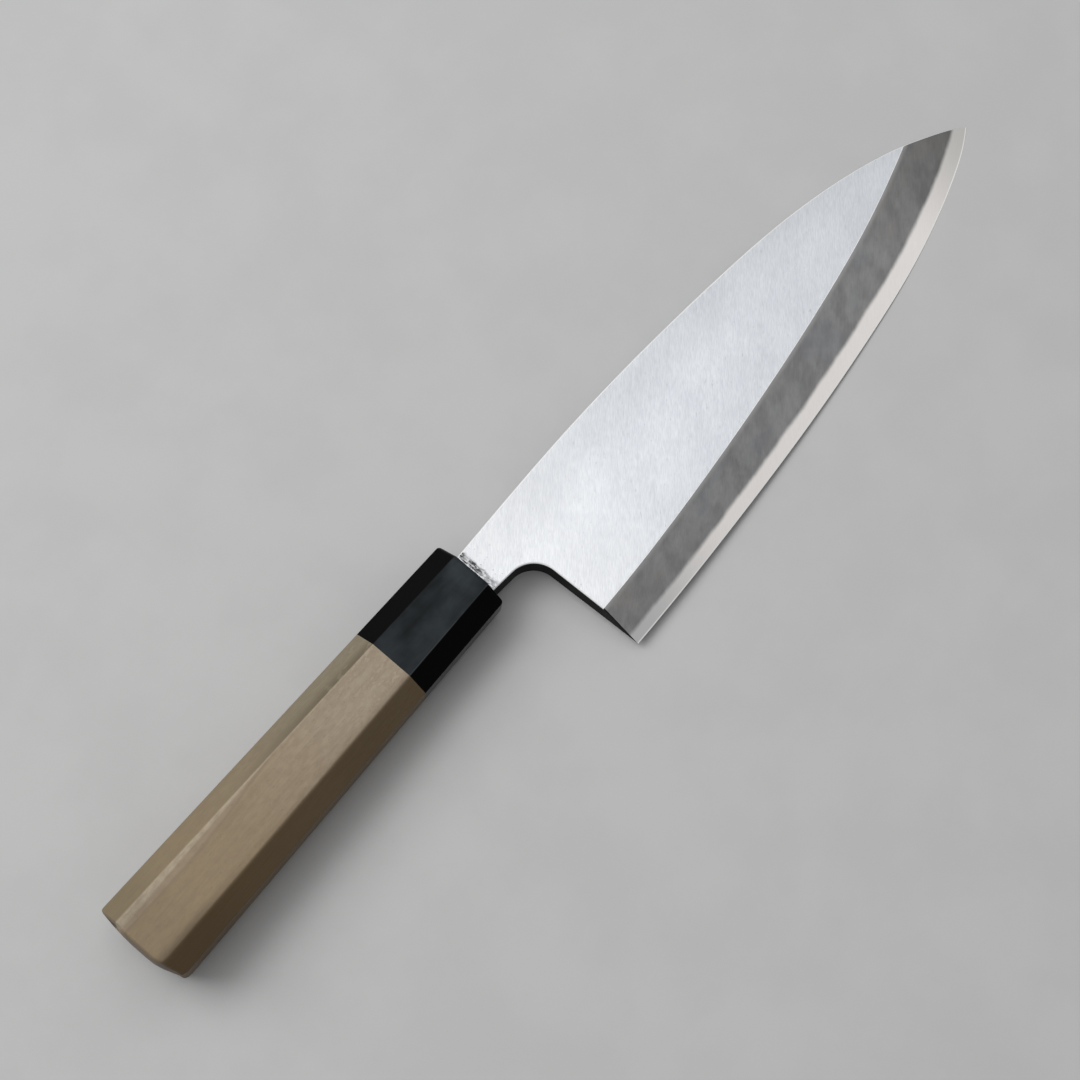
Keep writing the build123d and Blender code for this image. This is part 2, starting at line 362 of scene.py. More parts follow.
@dataclass(frozen=True)
class HonedBevel:
    """Clouded grey iron on the bevel, and the brighter hard steel along the edge."""

    name: str = Finish.HONED.value
    iron_light: Colour = (0.295, 0.295, 0.295)
    iron_dark: Colour = (0.18, 0.18, 0.185)
    iron_warm: Colour = (0.285, 0.265, 0.25)
    warm_ramp: Ramp = (0.45, 0.7, 0, 0.3)
    iron_cool: Colour = (0.235, 0.245, 0.26)
    cool_ramp: Ramp = (0.48, 0.3, 0, 0.3)
    iron_point_tint: Colour = (0.61, 0.61, 0.60)
    iron_point_span: Span = (125.0, 175.0)
    steel_warm: Colour = (0.95, 0.91, 0.885)
    steel_cool: Colour = (0.58, 0.58, 0.58)
    steel_heel_span: Span = (2.0, 45.0)
    steel_point: Colour = (0.61, 0.597, 0.575)
    steel_point_span: Span = (140.0, 178.0)
    steel_line: Colour = (0.50, 0.48, 0.47)
    steel_line_share: float = 0.07
    # Lighter grey in a band just below the ridge: a painted highlight.
    ridge: Colour = (0.48, 0.47, 0.46)
    ridge_highlight_span: Span = (1.6, 0.0)
    ridge_highlight_ramp: Ramp = (0.35, 0.6, 0.2, 0.55)
    # Near-white line on the honed micro-bevel along the cutting edge: a painted highlight.
    edge: Colour = (0.97, 0.955, 0.94)
    edge_highlight_span: Span = (0.45, 0.15)
    lines: Grain = Grain(2300, GRIND_TURN, (0.07, 1, 1), 2, 0.6)
    line_share: float = 0.25
    clouds: Grain = Grain(230, GRIND_TURN, (0.6, 1, 1), 3, 0.55)
    cloud_share: float = 0.7
    tints: Grain = Grain(90, 20, (0.5, 1, 1), 2)
    wander: float = 0.7
    blur: float = 0.75
    rough: Span = (0.5, 0.38)
    relief: Span = (0.005, 0.4)
    metal: float = 0.15

    def material(self) -> bpy.types.Material:
        """Builds the material from the distance to the steel's line that the mesh carries.

        Returns:
            The material.
        """
        art = Sketch(self.name)
        lines, clouds, tints = (art.grain(grain) for grain in (self.lines, self.clouds, self.tints))
        along = art.own("along")
        share = art.sum("ADD", art.fade(clouds, 0, self.cloud_share), art.fade(lines, 0, self.line_share))
        iron = art.blend(share, self.iron_light, self.iron_dark)
        iron = art.blend(art.span(tints, *self.warm_ramp), iron, self.iron_warm)
        iron = art.blend(art.span(tints, *self.cool_ramp), iron, self.iron_cool)
        iron = art.tint(art.span(along, *self.iron_point_span), iron, self.iron_point_tint)
        steel = art.blend(art.span(along, *self.steel_heel_span), self.steel_cool, self.steel_warm)
        steel = art.blend(art.span(along, *self.steel_point_span), steel, self.steel_point)
        steel = art.blend(art.fade(lines, 0, self.steel_line_share), steel, self.steel_line)
        gap = art.sum("ADD", art.own("above_steel"), art.swing(clouds, self.wander))
        into = art.span(gap, -self.blur, self.blur, 1.0, 0.0)
        # Painted highlight in a band just below the ridge.
        ridge_highlight = art.span(art.own("below_ridge"), *self.ridge_highlight_span)
        ridge_highlight = art.sum("MULTIPLY", ridge_highlight, art.span(clouds, *self.ridge_highlight_ramp))
        colour = art.blend(into, art.blend(ridge_highlight, iron, self.ridge), steel)
        # Painted highlight along the cutting edge's micro-bevel.
        colour = art.blend(art.span(art.own("above_edge"), *self.edge_highlight_span), colour, self.edge)
        art.relief(lines, *self.relief)
        return art.dress(colour, art.span(into, 0.0, 1.0, *self.rough), self.metal)


@dataclass(frozen=True)
class PlainSteel:
    """Steel or iron surface with a fine directional grain."""

    name: str
    light: Colour
    dark: Colour
    rough: Span
    lines: Grain = Grain(2200, 0, (0.05, 1, 1), 3, 0.6)
    line_share: float = 0.6
    clouds: Grain = Grain(130)
    cloud_share: float = 0.4
    relief: Span = (0.004, 0.5)
    metal: float = 1.0
    gloss: float = 1.5

    def material(self) -> bpy.types.Material:
        """Builds the material: lines along one direction over soft clouds.

        Returns:
            The material.
        """
        art = Sketch(self.name)
        lines, clouds = art.grain(self.lines), art.grain(self.clouds)
        share = art.sum("ADD", art.fade(lines, 0, self.line_share), art.fade(clouds, 0, self.cloud_share))
        art.relief(lines, *self.relief)
        art.shader.inputs["IOR"].default_value = self.gloss
        return art.dress(art.blend(share, self.light, self.dark), art.fade(clouds, *self.rough), self.metal)


@dataclass(frozen=True)
class StonedBack:
    """Back of the blade: a rim stoned bright along the blade, and a hollow ground across it."""

    name: str = Finish.BACK.value
    rim_light: Colour = (0.74, 0.74, 0.745)
    rim_dark: Colour = (0.62, 0.62, 0.63)
    hollow_light: Colour = (0.52, 0.525, 0.535)
    hollow_dark: Colour = (0.39, 0.395, 0.405)
    scoop_span: Span = (0.015, 0.06)
    stoned: Grain = Grain(1800, 0, (0.05, 1, 1), 3, 0.6)
    stoned_share: float = 0.8
    ground: Grain = Grain(1500, 90, (0.05, 1, 1), 3, 0.6)
    ground_share: float = 0.6
    clouds: Grain = Grain(130)
    cloud_share: float = 0.4
    rough: Span = (0.27, 0.44)
    relief: Span = (0.004, 0.5)

    def material(self) -> bpy.types.Material:
        """Builds the material from the depth of the hollow that the mesh carries.

        Returns:
            The material.
        """
        art = Sketch(self.name)
        ground = art.grain(self.ground)
        clouds = art.fade(art.grain(self.clouds), 0, self.cloud_share)
        inside = art.span(art.own("scoop"), *self.scoop_span)
        stoned = art.fade(art.grain(self.stoned), 0, self.stoned_share)
        rim = art.blend(stoned, self.rim_light, self.rim_dark)
        share = art.sum("ADD", art.fade(ground, 0, self.ground_share), clouds)
        hollow = art.blend(share, self.hollow_light, self.hollow_dark)
        art.relief(art.sum("MULTIPLY", ground, inside), *self.relief)
        rough = art.span(inside, 0.0, 1.0, *self.rough)
        return art.dress(art.blend(inside, rim, hollow), rough, metal=1.0)


@dataclass(frozen=True)
class BlackHorn:
    """Polished black horn with faint clouds and long streaks, a painted reflection on its broad facets and a
    painted highlight along their long edges.
    """

    name: str = Finish.HORN.value
    deep: Colour = (0.0015, 0.0015, 0.0016)
    # Grey-blue clouds: real horn clouds, kept to the broad facets and fading to the back as a painted
    # reflection.
    cloud_and_reflection: Colour = (0.0445, 0.054, 0.0595)
    # Grey along the long edges of the broad facets, strongest on the -Y side: a painted highlight.
    worn: Colour = (0.06, 0.065, 0.068)
    streaks: Grain = Grain(330, 0, (0.25, 1, 1))
    streak_shares: Span = (0.05, 0.25)
    clouds: Grain = Grain(85)
    cloud_shares: Span = (0.15, 0.65)
    facet_span: Span = (1.02, 0.97)
    front_ramp: Ramp = (2.0, 26.0, 1.0, 0.66)
    edge_highlight_span: Span = (0.035, 0.01)
    edge_ramp: Ramp = (0.35, 0.6, 0.2, 0.8)
    side_ramp: Ramp = (0.5, -0.5, 0.1, 1.0)
    rough: Span = (0.14, 0.22)
    relief: Span = (0.02, 0.12)
    gloss: float = 1.12

    def material(self) -> bpy.types.Material:
        """Builds the material: near-black, clouded on the broad facets with a painted reflection, and with a
        painted highlight along their long edges.

        Returns:
            The material.
        """
        art = Sketch(self.name)
        streaks, clouds, across = art.grain(self.streaks), art.grain(self.clouds), art.own("over")
        over = art.sum("ABSOLUTE", across, 0.0)
        # Clouds on the broad facets only, fading towards the back: partly a painted reflection.
        share = art.sum(
            "MULTIPLY",
            art.sum("ADD", art.fade(streaks, *self.streak_shares), art.fade(clouds, *self.cloud_shares)),
            art.span(over, *self.facet_span), art.span(art.own("along"), *self.front_ramp),
        )
        colour = art.blend(share, self.deep, self.cloud_and_reflection)
        # Painted highlight along the long edges, strongest on the -Y side.
        edge = art.sum("ABSOLUTE", art.sum("SUBTRACT", over, 1.0), 0.0)
        horn_edge_highlight = art.sum(
            "MULTIPLY", art.span(edge, *self.edge_highlight_span), art.span(streaks, *self.edge_ramp),
            art.span(across, *self.side_ramp),
        )
        art.shader.inputs["IOR"].default_value = self.gloss
        art.relief(clouds, *self.relief)
        return art.dress(art.blend(horn_edge_highlight, colour, self.worn), art.fade(clouds, *self.rough))


@dataclass(frozen=True)
class Magnolia:
    """Pale fine-grained handle wood. Spans along the handle are millimetres behind its front."""

    name: str = Finish.WOOD.value
    front: Colour = (0.365, 0.302, 0.222)
    back: Colour = (0.27, 0.201, 0.111)
    back_span: Span = (30.0, 110.0)
    sapwood: Colour = (0.455, 0.385, 0.28)
    heart: Colour = (0.215, 0.155, 0.098)
    pore: Colour = (0.16, 0.12, 0.08)
    pore_ramp: Ramp = (0.62, 0.72, 0, 0.4)
    bands: Grain = Grain(190, 0, (0.12, 1, 1))
    fibres: Grain = Grain(1700, 0, (0.06, 1, 1), 3, 0.6)
    pores: Grain = Grain(2600, 0, (0.25, 1, 1), 2, 0.6)
    mottle: Grain = Grain(600, 0, (0.55, 1, 1), 3, 0.6)
    heart_shares: tuple[float, float, float] = (0.22, 0.14, 0.38)
    raised_span: Span = (0.56, 0.66)
    raised_ramp: Ramp = (70.0, 36.0, 0.0, 0.4)
    # Darker +Y chamfer, most towards the front: painted shade.
    shaded: Colour = (0.11, 0.10, 0.06)
    shaded_span: Span = (0.97, 1.06)
    shaded_ramp: Ramp = (50.0, 95.0, 0.54, 0.27)
    # Darker towards the -Y edge: near the butt a painted shade of its rounded corner, near the front only
    # darker.
    edge_side_darkening: Colour = (0.5, 0.46, 0.42)
    edge_side_darkening_span: Span = (-0.62, -1.0)
    butt_painted_shade: Ramp = (98.0, 124.0, 0.3, 1.0)
    front_darkening: Ramp = (75.0, 55.0, 0.0, 0.25)
    # Darker towards the butt, except on the -Y chamfer.
    butt_darkening_tint: Colour = (0.88, 0.88, 0.87)
    butt_darkening_along: Span = (110.0, 128.0)
    butt_darkening_over: Span = (-1.1, -0.95)
    # Dark brown on the -Y chamfer and side: painted shade.
    edge_side_shade: Colour = (0.069, 0.037, 0.004)
    edge_side_shade_ramp: Ramp = (-0.92, -1.12, 0, 0.79)
    rough: Span = (0.54, 0.66)
    relief: Span = (0.03, 0.3)
    sway: float = 0.16
    line_path: Ramp = (58.0, 114.0, 1.02, 0.52)
    strip_path: Ramp = (50.0, 132.0, 1.0, 0.74)
    facet_span: Span = (1.03, 0.96)
    blush: Colour = (0.335, 0.262, 0.195)
    blush_ramp: Ramp = (-0.02, 0.10, 0.0, 0.45)
    strip_ramp: Ramp = (-0.05, 0.07, 0.0, 0.85)
    line_rise: Span = (-0.09, -0.01)
    line_fall: Span = (0.08, 0.01)
    line_ramp: Ramp = (62.0, 85.0, 0.0, 0.55)
    # Dark line along the long edge between the broad facet and the +Y chamfer, towards the front: painted
    # shade.
    seam: Colour = (0.085, 0.055, 0.03)
    chamfer_line_shade_rise: Span = (0.985, 1.03)
    chamfer_line_shade_fall: Span = (1.45, 1.05)
    chamfer_line_shade_ramp: Ramp = (100.0, 45.0, 0.0, 0.88)

    def material(self) -> bpy.types.Material:
        """Builds the material: growth bands, fibres and short pores along the handle.

        Returns:
            The material.
        """
        art = Sketch(self.name)
        grains = [art.grain(grain) for grain in (self.bands, self.fibres, self.mottle)]
        bands, fibres, mottle = grains
        over, along = art.own("over"), art.own("along")
        colour = art.blend(art.span(along, *self.back_span), self.front, self.back)
        colour = self.strip(art, colour, bands)
        share = art.sum("ADD", *(art.fade(grain, 0, top) for grain, top in zip(grains, self.heart_shares)))
        colour = art.blend(share, colour, self.heart)
        colour = art.blend(art.span(art.grain(self.pores), *self.pore_ramp), colour, self.pore)
        raised = art.sum("MULTIPLY", art.span(mottle, *self.raised_span), art.span(along, *self.raised_ramp))
        colour = art.blend(raised, colour, self.sapwood)
        # Painted shade on the +Y chamfer.
        shaded = art.sum("MULTIPLY", art.span(over, *self.shaded_span), art.span(along, *self.shaded_ramp))
        colour = art.blend(shaded, colour, self.shaded)
        # Near the butt, painted shade towards the -Y edge; near the front, only darker there.
        edge_side_darkened = art.sum("ADD", art.span(along, *self.butt_painted_shade), art.span(along, *self.front_darkening))
        edge_side_darkened = art.sum("MULTIPLY", edge_side_darkened, art.span(over, *self.edge_side_darkening_span))
        colour = art.tint(edge_side_darkened, colour, self.edge_side_darkening)
        butt_darkened = art.sum("MULTIPLY", art.span(along, *self.butt_darkening_along), art.span(over, *self.butt_darkening_over))
        colour = art.tint(butt_darkened, colour, self.butt_darkening_tint)
        # Painted shade on the -Y chamfer and side.
        colour = art.blend(art.span(over, *self.edge_side_shade_ramp), colour, self.edge_side_shade)
        art.relief(art.sum("ADD", fibres, mottle), *self.relief)
        return art.dress(colour, art.fade(fibres, *self.rough))

    def strip(self, art: Sketch, colour: Socket, bands: Socket) -> Socket:
        """Adds the pale sapwood that runs out of one edge of the broad facet, a dark line beside it, and
        painted shade along that edge of the facet.

        Args:
            art: Sketch that takes the nodes.
            colour: Colour of the plain wood.
            bands: Growth bands, which make the lines wander.

        Returns:
            Colour socket.
        """
        over, along = art.own("over"), art.own("along")
        swayed = art.sum("ADD", over, art.swing(bands, self.sway))
        past_line = art.sum("SUBTRACT", swayed, art.span(along, *self.line_path))
        past_strip = art.sum("SUBTRACT", swayed, art.span(along, *self.strip_path))
        inside = art.span(over, *self.facet_span)
        blush = art.sum("MULTIPLY", art.span(past_line, *self.blush_ramp), inside)
        colour = art.blend(blush, colour, self.blush)
        pale = art.sum("MULTIPLY", art.span(past_strip, *self.strip_ramp), inside)
        colour = art.blend(pale, colour, self.sapwood)
        # The second line is painted shade along the broad facet's +Y edge.
        for dark, across, rise, fall, ramp in (
            (self.heart, past_line, self.line_rise, self.line_fall, self.line_ramp),
            (self.seam, over, self.chamfer_line_shade_rise, self.chamfer_line_shade_fall, self.chamfer_line_shade_ramp),
        ):
            line = art.sum("MULTIPLY", art.span(across, *rise), art.span(across, *fall))
            colour = art.blend(art.sum("MULTIPLY", line, art.span(along, *ramp)), colour, dark)
        return colour


@dataclass(frozen=True)
class Resin:
    """Set resin, brown-black and slightly clouded."""

    name: str = Finish.RESIN.value
    deep: Colour = (0.012, 0.010, 0.008)
    amber: Colour = (0.03, 0.024, 0.018)
    clouds: Grain = Grain(700)
    rough: Span = (0.35, 0.5)
    relief: Span = (0.05, 0.3)

    def material(self) -> bpy.types.Material:
        """Builds the material: dark amber clouds with a dull gloss.

        Returns:
            The material.
        """
        art = Sketch(self.name)
        clouds = art.grain(self.clouds)
        art.relief(clouds, *self.relief)
        return art.dress(art.blend(art.fade(clouds), self.deep, self.amber), art.fade(clouds, *self.rough))


@dataclass(frozen=True)
class PaleBoard:
    """Matt pale board, faintly clouded."""

    name: str = Finish.BENCH.value
    light: Colour = (0.52, 0.52, 0.52)
    dark: Colour = (0.50, 0.50, 0.50)
    clouds: Grain = Grain(30, detail=4, rough=0.6)
    cloud_span: Span = (0.35, 0.65)
    rough: float = 0.85

    def material(self) -> bpy.types.Material:
        """Builds the material: broad soft clouds, with no gloss.

        Returns:
            The material.
        """
        art = Sketch(self.name)
        share = art.span(art.grain(self.clouds), *self.cloud_span)
        return art.dress(art.blend(share, self.light, self.dark), self.rough)


class Shell:
    """Faces gathered for one piece, in millimetres, with the finish that each takes."""

    # Points that fall on one place of a grid with this many steps per millimetre are one corner.
    steps_per_mm: int = 2000

    def __init__(self) -> None:
        """Starts with no corners and no faces."""
        self.points: list[Point] = []
        self.known: dict[tuple[int, ...], int] = {}
        self.faces: list[list[int]] = []
        self.finishes: list[Finish] = []

    def corner(self, point: Point) -> int:
        """Gives the number of the corner at a point, shared by every face that has it.

        Args:
            point: The point.

        Returns:
            The corner's number.
        """
        key = tuple(round(float(c) * self.steps_per_mm) for c in point)
        if key not in self.known:
            self.known[key] = len(self.points)
            self.points.append(tuple(float(c) for c in point))
        return self.known[key]

    def face(self, corners: list[Point], finish: Finish) -> None:
        """Adds a face, unless its corners fall together.

        Args:
            corners: Points round the face.
            finish: Finish that it takes.
        """
        ids: list[int] = []
        for point in corners:
            number = self.corner(point)
            if not ids or ids[-1] != number:
                ids.append(number)
        while len(ids) > 1 and ids[0] == ids[-1]:
            ids.pop()
        if len(set(ids)) == len(ids) and len(ids) > 2:
            self.faces.append(ids)
            self.finishes.append(finish)

    def sheet(self, rows: Columns, finish: Finish, closed: bool = False) -> None:
        """Adds a sheet of four-sided faces between rows of points.

        Args:
            rows: Rows of equally many points.
            finish: Finish that all take.
            closed: Whether each row runs round in a loop.
        """
        for near, far in zip(rows, rows[1:]):
            count = len(near)
            for k in range(count if closed else count - 1):
                n = (k + 1) % count
                self.face([near[k], near[n], far[n], far[k]], finish)

    def over(self, columns: Columns, rows: range, finish: Finish) -> None:
        """Adds the strips between neighbouring columns for some of their rows.

        Args:
            columns: Columns of equally many points.
            rows: Rows that the strips start at.
            finish: Finish that all take.
        """
        for near, far in zip(columns, columns[1:]):
            for k in rows:
                self.face([near[k], near[k + 1], far[k + 1], far[k]], finish)

    def piece(
        self, name: str, wardrobe: Wardrobe, values: dict[str, Rule], sharp_angle: float = 40.0
    ) -> bpy.types.Object:
        """Makes the object, with outward faces and crisp edges where finishes or steep faces meet.

        Args:
            name: Name of the piece.
            wardrobe: Material of each finish.
            values: Functions of x, y, z by the name that a material reads.
            sharp_angle: Angle in degrees above which an edge is crisp.

        Returns:
            The object, lying as the knife lies.
        """
        mesh = bpy.data.meshes.new(name)
        mesh.from_pydata([LYING @ (Vector(p) * MM) for p in self.points], [], self.faces)
        used = sorted(set(self.finishes), key=lambda finish: finish.value)
        for finish in used:
            mesh.materials.append(wardrobe[finish])
        for polygon, finish in zip(mesh.polygons, self.finishes):
            polygon.material_index = used.index(finish)
            polygon.use_smooth = True
        built = bmesh.new()
        built.from_mesh(mesh)
        bmesh.ops.recalc_face_normals(built, faces=built.faces)
        if built.calc_volume(signed=True) < 0:
            bmesh.ops.reverse_faces(built, faces=built.faces)
        torn = sum(1 for edge in built.edges if len(edge.link_faces) != 2)
        for edge in built.edges:
            if len(edge.link_faces) == 2:
                first, second = edge.link_faces
                differ = first.material_index != second.material_index
                edge.smooth = not (differ or edge.calc_face_angle(0) > math.radians(sharp_angle))
        built.to_mesh(mesh)
        built.free()
        for key, rule in values.items():
            layer = mesh.attributes.new(key, "FLOAT", "POINT")
            layer.data.foreach_set("value", [float(rule(*p)) for p in self.points])
        made = bpy.data.objects.new(name, mesh)
        bpy.context.scene.collection.objects.link(made)
        weighted = made.modifiers.new("even_faces", "WEIGHTED_NORMAL")
        weighted.keep_sharp = True
        log.info("%s: %d corners, %d faces, %d open edges", name, len(self.points), len(self.faces), torn)
        return made


def put_on(made: bpy.types.Object, node: str) -> bpy.types.Object:
    """Puts a piece on the knife in place of its plain solid.

    Args:
        made: The piece.
        node: Name of the solid's node.

    Returns:
        The piece.
    """
    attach(made, "root")
    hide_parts(node)
    return made


def unit(line: np.ndarray) -> np.ndarray:
    """Direction of a vector, as a vector of length 1."""
    return line / np.linalg.norm(line)


def smooth_line(points: np.ndarray, leaving: np.ndarray, arriving: np.ndarray, per_span: int) -> np.ndarray:
    """Smooth cubic line through points with a direction at each end.

    Args:
        points: Points, one per row.
        leaving: Vector along the line at the first point.
        arriving: Vector along the line at the last point.
        per_span: Steps between two points.

    Returns:
        Points along the line, one per row.
    """
    gaps = np.linalg.norm(np.diff(points, axis=0), axis=1)
    count = len(points)
    system = np.zeros((count, count))
    target = np.zeros_like(points)
    system[0, 0] = system[-1, -1] = 1
    target[0], target[-1] = unit(leaving), unit(arriving)
    for k in range(1, count - 1):
        system[k, k - 1], system[k, k], system[k, k + 1] = gaps[k], 2 * (gaps[k - 1] + gaps[k]), gaps[k - 1]
        before = (points[k] - points[k - 1]) * gaps[k] / gaps[k - 1]
        after = (points[k + 1] - points[k]) * gaps[k - 1] / gaps[k]
        target[k] = 3 * (before + after)
    slopes = np.linalg.solve(system, target)
    line = []
    for k, h in enumerate(gaps):
        for step in range(per_span):
            s = step / per_span
            line.append(
                points[k] * (1 + 2 * s) * (1 - s) ** 2 + slopes[k] * h * s * (1 - s) ** 2
                + points[k + 1] * s * s * (3 - 2 * s) + slopes[k + 1] * h * s * s * (s - 1)
            )
    line.append(points[-1])
    return np.array(line)


def quarter(steps: int) -> list[float]:
    """Angles from 0 to a right angle, in equal steps."""
    return [math.pi / 2 * step / steps for step in range(steps + 1)]


@dataclass
class Blade:
    """Single-bevel blade: a soft iron body over a hard steel layer, with the tang behind.

    A column of points runs down the blade's wall at one place of its outline: over the eased upper
    edge, to the joint between iron and steel, and over the eased lower edge.
    """

    # Outline: X runs from the ferrule's front to the point, and Y up from the knife's axis.
    run: float = 178.9
    heel_reach: float = 16.8
    heel_depth: float = 46.5
    heel_slant: float = 1.9
    spine_rise: float = 7.0
    point_drop: float = 20.5
    neck_spine: float = 6.0
    neck_edge: float = 7.3
    neck_drop: float = 1.1
    choil_radius: float = 8.8
    # Thicknesses above the back, the back's height, and how far the choil's wall leans out.
    neck_thickness: float = 8.0
    ridge_thickness: float = 5.9
    meeting_thickness: float = 2.9
    back: float = -4.0
    lean: float = 0.85
    # Bevel, hard steel layer, and the back's hollow inside its rim.
    bevel_width: float = 13.1
    bevel_widest: float = 17.85
    bevel_lead: float = 3.0
    steel_thickness: float = 1.45
    steel_point_thickness: float = 0.75
    steel_start: float = 8.0
    steel_wave: float = 0.11
    hollow_depth: float = 0.5
    hollow_start: float = 5.0
    rim: float = 3.2
    # Tang: at its root it has the neck's size, smaller all round by the shoulder.
    tang_length: float = 96.0
    tang_end_height: float = 7.0
    tang_end_thickness: float = 3.2
    tang_shoulder: float = 0.4
    tang_root: float = 2.0
    # Rounding of the upper and the lower edges, and width of the bright line above the ridge.
    eased: float = 0.32
    back_eased: float = 0.3
    ridge_line: float = 0.16
    # Least gap between ridge and spine, steps of the mesh, tries that settle a place, and shares
    # that set the mesh's rows.
    least_gap: float = 0.02
    ease_steps: int = 3
    line_steps: int = 60
    columns: int = 300
    crowding: float = 1.25
    height_tries: int = 6
    place_tries: int = 8
    wall_steps: int = 15
    round_steps: int = 16
    under_steps: int = 3
    neck_steps: int = 7
    lead_steps: int = 8
    hollow_steps: int = 12
    steel_row_shares: tuple[float, ...] = (0.0, 0.05, 0.2, 0.5, 0.8, 1.0)
    iron_row_shares: tuple[float, ...] = (0.1, 0.25, 0.45, 0.65, 0.85, 1.0)
    rim_row_shares: tuple[float, ...] = (0.0, 0.3, 1.0)
    upper_rim_shares: tuple[float, ...] = (1.0, 0.4, 0.0)
    rim_share: float = 0.42
    ease_share: float = 0.06
    point_ease_shares: Span = (0.4, 0.3)
    # Waves of the steel's line: turns per millimetre, where the noise is cut, and strength.
    waves: tuple[Point, ...] = ((0.11, 3.7, 1.0), (0.27, 9.1, 0.6))
    # Shares of the way along the blade and of the spine's fall.
    spine_shares: tuple[Span, ...] = (
        (0.229, 0.0), (0.394, 0.029), (0.554, 0.107), (0.694, 0.221),
        (0.8145, 0.405), (0.904, 0.624), (0.951, 0.784), (0.981, 0.904), (1.0, 1.0),
    )
    # Shares of the way along the edge, of its rise and of the bevel's widening.
    edge_shares: tuple[Point, ...] = (
        (-0.12, 0.0, 0.0), (0.0, 0.0, 0.0), (0.238, 0.054, 0.204), (0.468, 0.163, 0.537),
        (0.638, 0.294, 0.768), (0.742, 0.405, 0.916), (0.848, 0.577, 1.0), (0.921, 0.738, 0.99),
        (0.958, 0.84, 0.95), (1.0, 1.0, 0.86), (1.05, 1.27, 0.75),
    )
    # Where the ridge meets the spine, in shares of the blade's reach and of the spine's fall.
    meeting_shares: Span = (0.905, 0.64)
    # Shares of the way along the hollow and of its depth.
    hollow_shares: tuple[Span, ...] = (
        (0.0, 0.0), (0.03, 0.35), (0.12, 0.85), (0.3, 1.0),
        (0.5, 0.85), (0.7, 0.6), (0.84, 0.3), (0.93, 0.0),
    )

    def __post_init__(self) -> None:
        """Works out the spine, the edge, the flat face's plane, the choil and every column."""
        self.reach = self.heel_reach + self.run
        self.joint_row = self.ease_steps + 1
        self.back_row = 2 * self.joint_row
        self.draw_lines()
        self.draw_choil()
        self.lay_bevel()
        self.lay_walls()

    def draw_lines(self) -> None:
        """Draws the spine and the edge with the bevel's width, and places the flat face's plane."""
        fall = self.spine_rise + self.point_drop
        spine = [(self.reach * along, self.spine_rise - fall * down) for along, down in self.spine_shares]
        spine = np.array([(-self.tang_root, self.neck_spine)] + spine)
        leaving, arriving = spine[1] - spine[0], spine[-1] - spine[-2]
        # One more point lets the line run straight off the blade's point.
        past = np.vstack([spine, spine[-1] + arriving])
        self.spine_line = smooth_line(past, leaving, arriving, self.line_steps)
        rise = self.heel_depth - self.point_drop
        extra = self.bevel_widest - self.bevel_width
        rows = np.array([
            (self.heel_reach + self.run * along, rise * up - self.heel_depth, self.bevel_width + extra * wide)
            for along, up, wide in self.edge_shares
        ])
        self.edge_line = smooth_line(rows, rows[1] - rows[0], rows[-1] - rows[-2], self.line_steps)
        along, down = self.meeting_shares
        self.neck_corner = Vector((0, self.neck_spine, self.neck_thickness + self.back))
        heel = Vector((self.heel_reach, self.bevel_width - self.heel_depth, self.ridge_thickness + self.back))
        far = Vector((self.reach * along, self.spine_rise - fall * down, self.meeting_thickness + self.back))
        self.face_normal = (heel - self.neck_corner).cross(far - self.neck_corner).normalized()

    def draw_choil(self) -> None:
        """Draws the choil: a straight run under the neck, a round and a straight run to the heel."""
        corner = np.array([self.heel_reach + self.lean - self.heel_slant, -self.neck_edge - self.neck_drop])
        self.root = np.array([0.0, -self.neck_edge])
        self.under = unit(corner - self.root)
        self.drop = unit(np.array([self.heel_reach + self.lean, -self.heel_depth]) - corner)
        half = math.acos(float(-self.under @ self.drop)) / 2
        tangent = self.choil_radius / math.tan(half)
        self.arc_start = corner - self.under * tangent
        self.arc_end = corner + self.drop * tangent
        self.arc_middle = corner + unit(self.drop - self.under) * self.choil_radius / math.sin(half)

    def spine_y(self, x: float) -> float:
        """Height of the spine at x."""
        return float(np.interp(x, self.spine_line[:, 0], self.spine_line[:, 1]))

    def edge_y(self, x: float) -> float:
        """Height of the cutting edge at x."""
        return float(np.interp(x, self.edge_line[:, 0], self.edge_line[:, 1]))

    def width(self, x: float) -> float:
        """Width of the bevel at x."""
        return float(np.interp(x, self.edge_line[:, 0], self.edge_line[:, 2]))

    def face_z(self, x: float, y: float) -> float:
        """Height of the flat face's plane over a point."""
        origin, normal = self.neck_corner, self.face_normal
        return origin.z - (normal.x * (x - origin.x) + normal.y * (y - origin.y)) / normal.z

    def top_z(self, x: float, y: float) -> float:
        """Height of the bevelled side over a point, on the flat face or on the bevel.

        Args:
            x: Place along the blade.
            y: Height above the knife's axis.

        Returns:
            The height.
        """
        low, wide = self.edge_y(x), self.width(x)
        ridge = self.face_z(x, low + wide)
        bevel = self.back + (y - low) / wide * (ridge - self.back)
        return min(self.face_z(x, y), bevel) if x > self.heel_reach - self.bevel_lead else self.face_z(x, y)

    def layer_z(self, x: float) -> float:
        """Height of the hard steel's upper side at x."""
        slope = (self.steel_thickness - self.steel_point_thickness) / self.run
        return self.back + self.steel_thickness + slope * (self.heel_reach - x)

    def steel_width(self, x: float) -> float:
        """Width of the hard steel's band along the edge, with the wandering of its line.

        Args:
            x: Place along the blade.

        Returns:
            The width.
        """
        low, wide = self.edge_y(x), self.width(x)
        ridge = self.face_z(x, low + wide)
        plain = wide * (self.layer_z(x) - self.back) / (ridge - self.back)
        waves = sum(weight * noise.noise(Vector((x * pace, cut, 0.0))) for pace, cut, weight in self.waves)
        return plain + self.steel_wave * waves

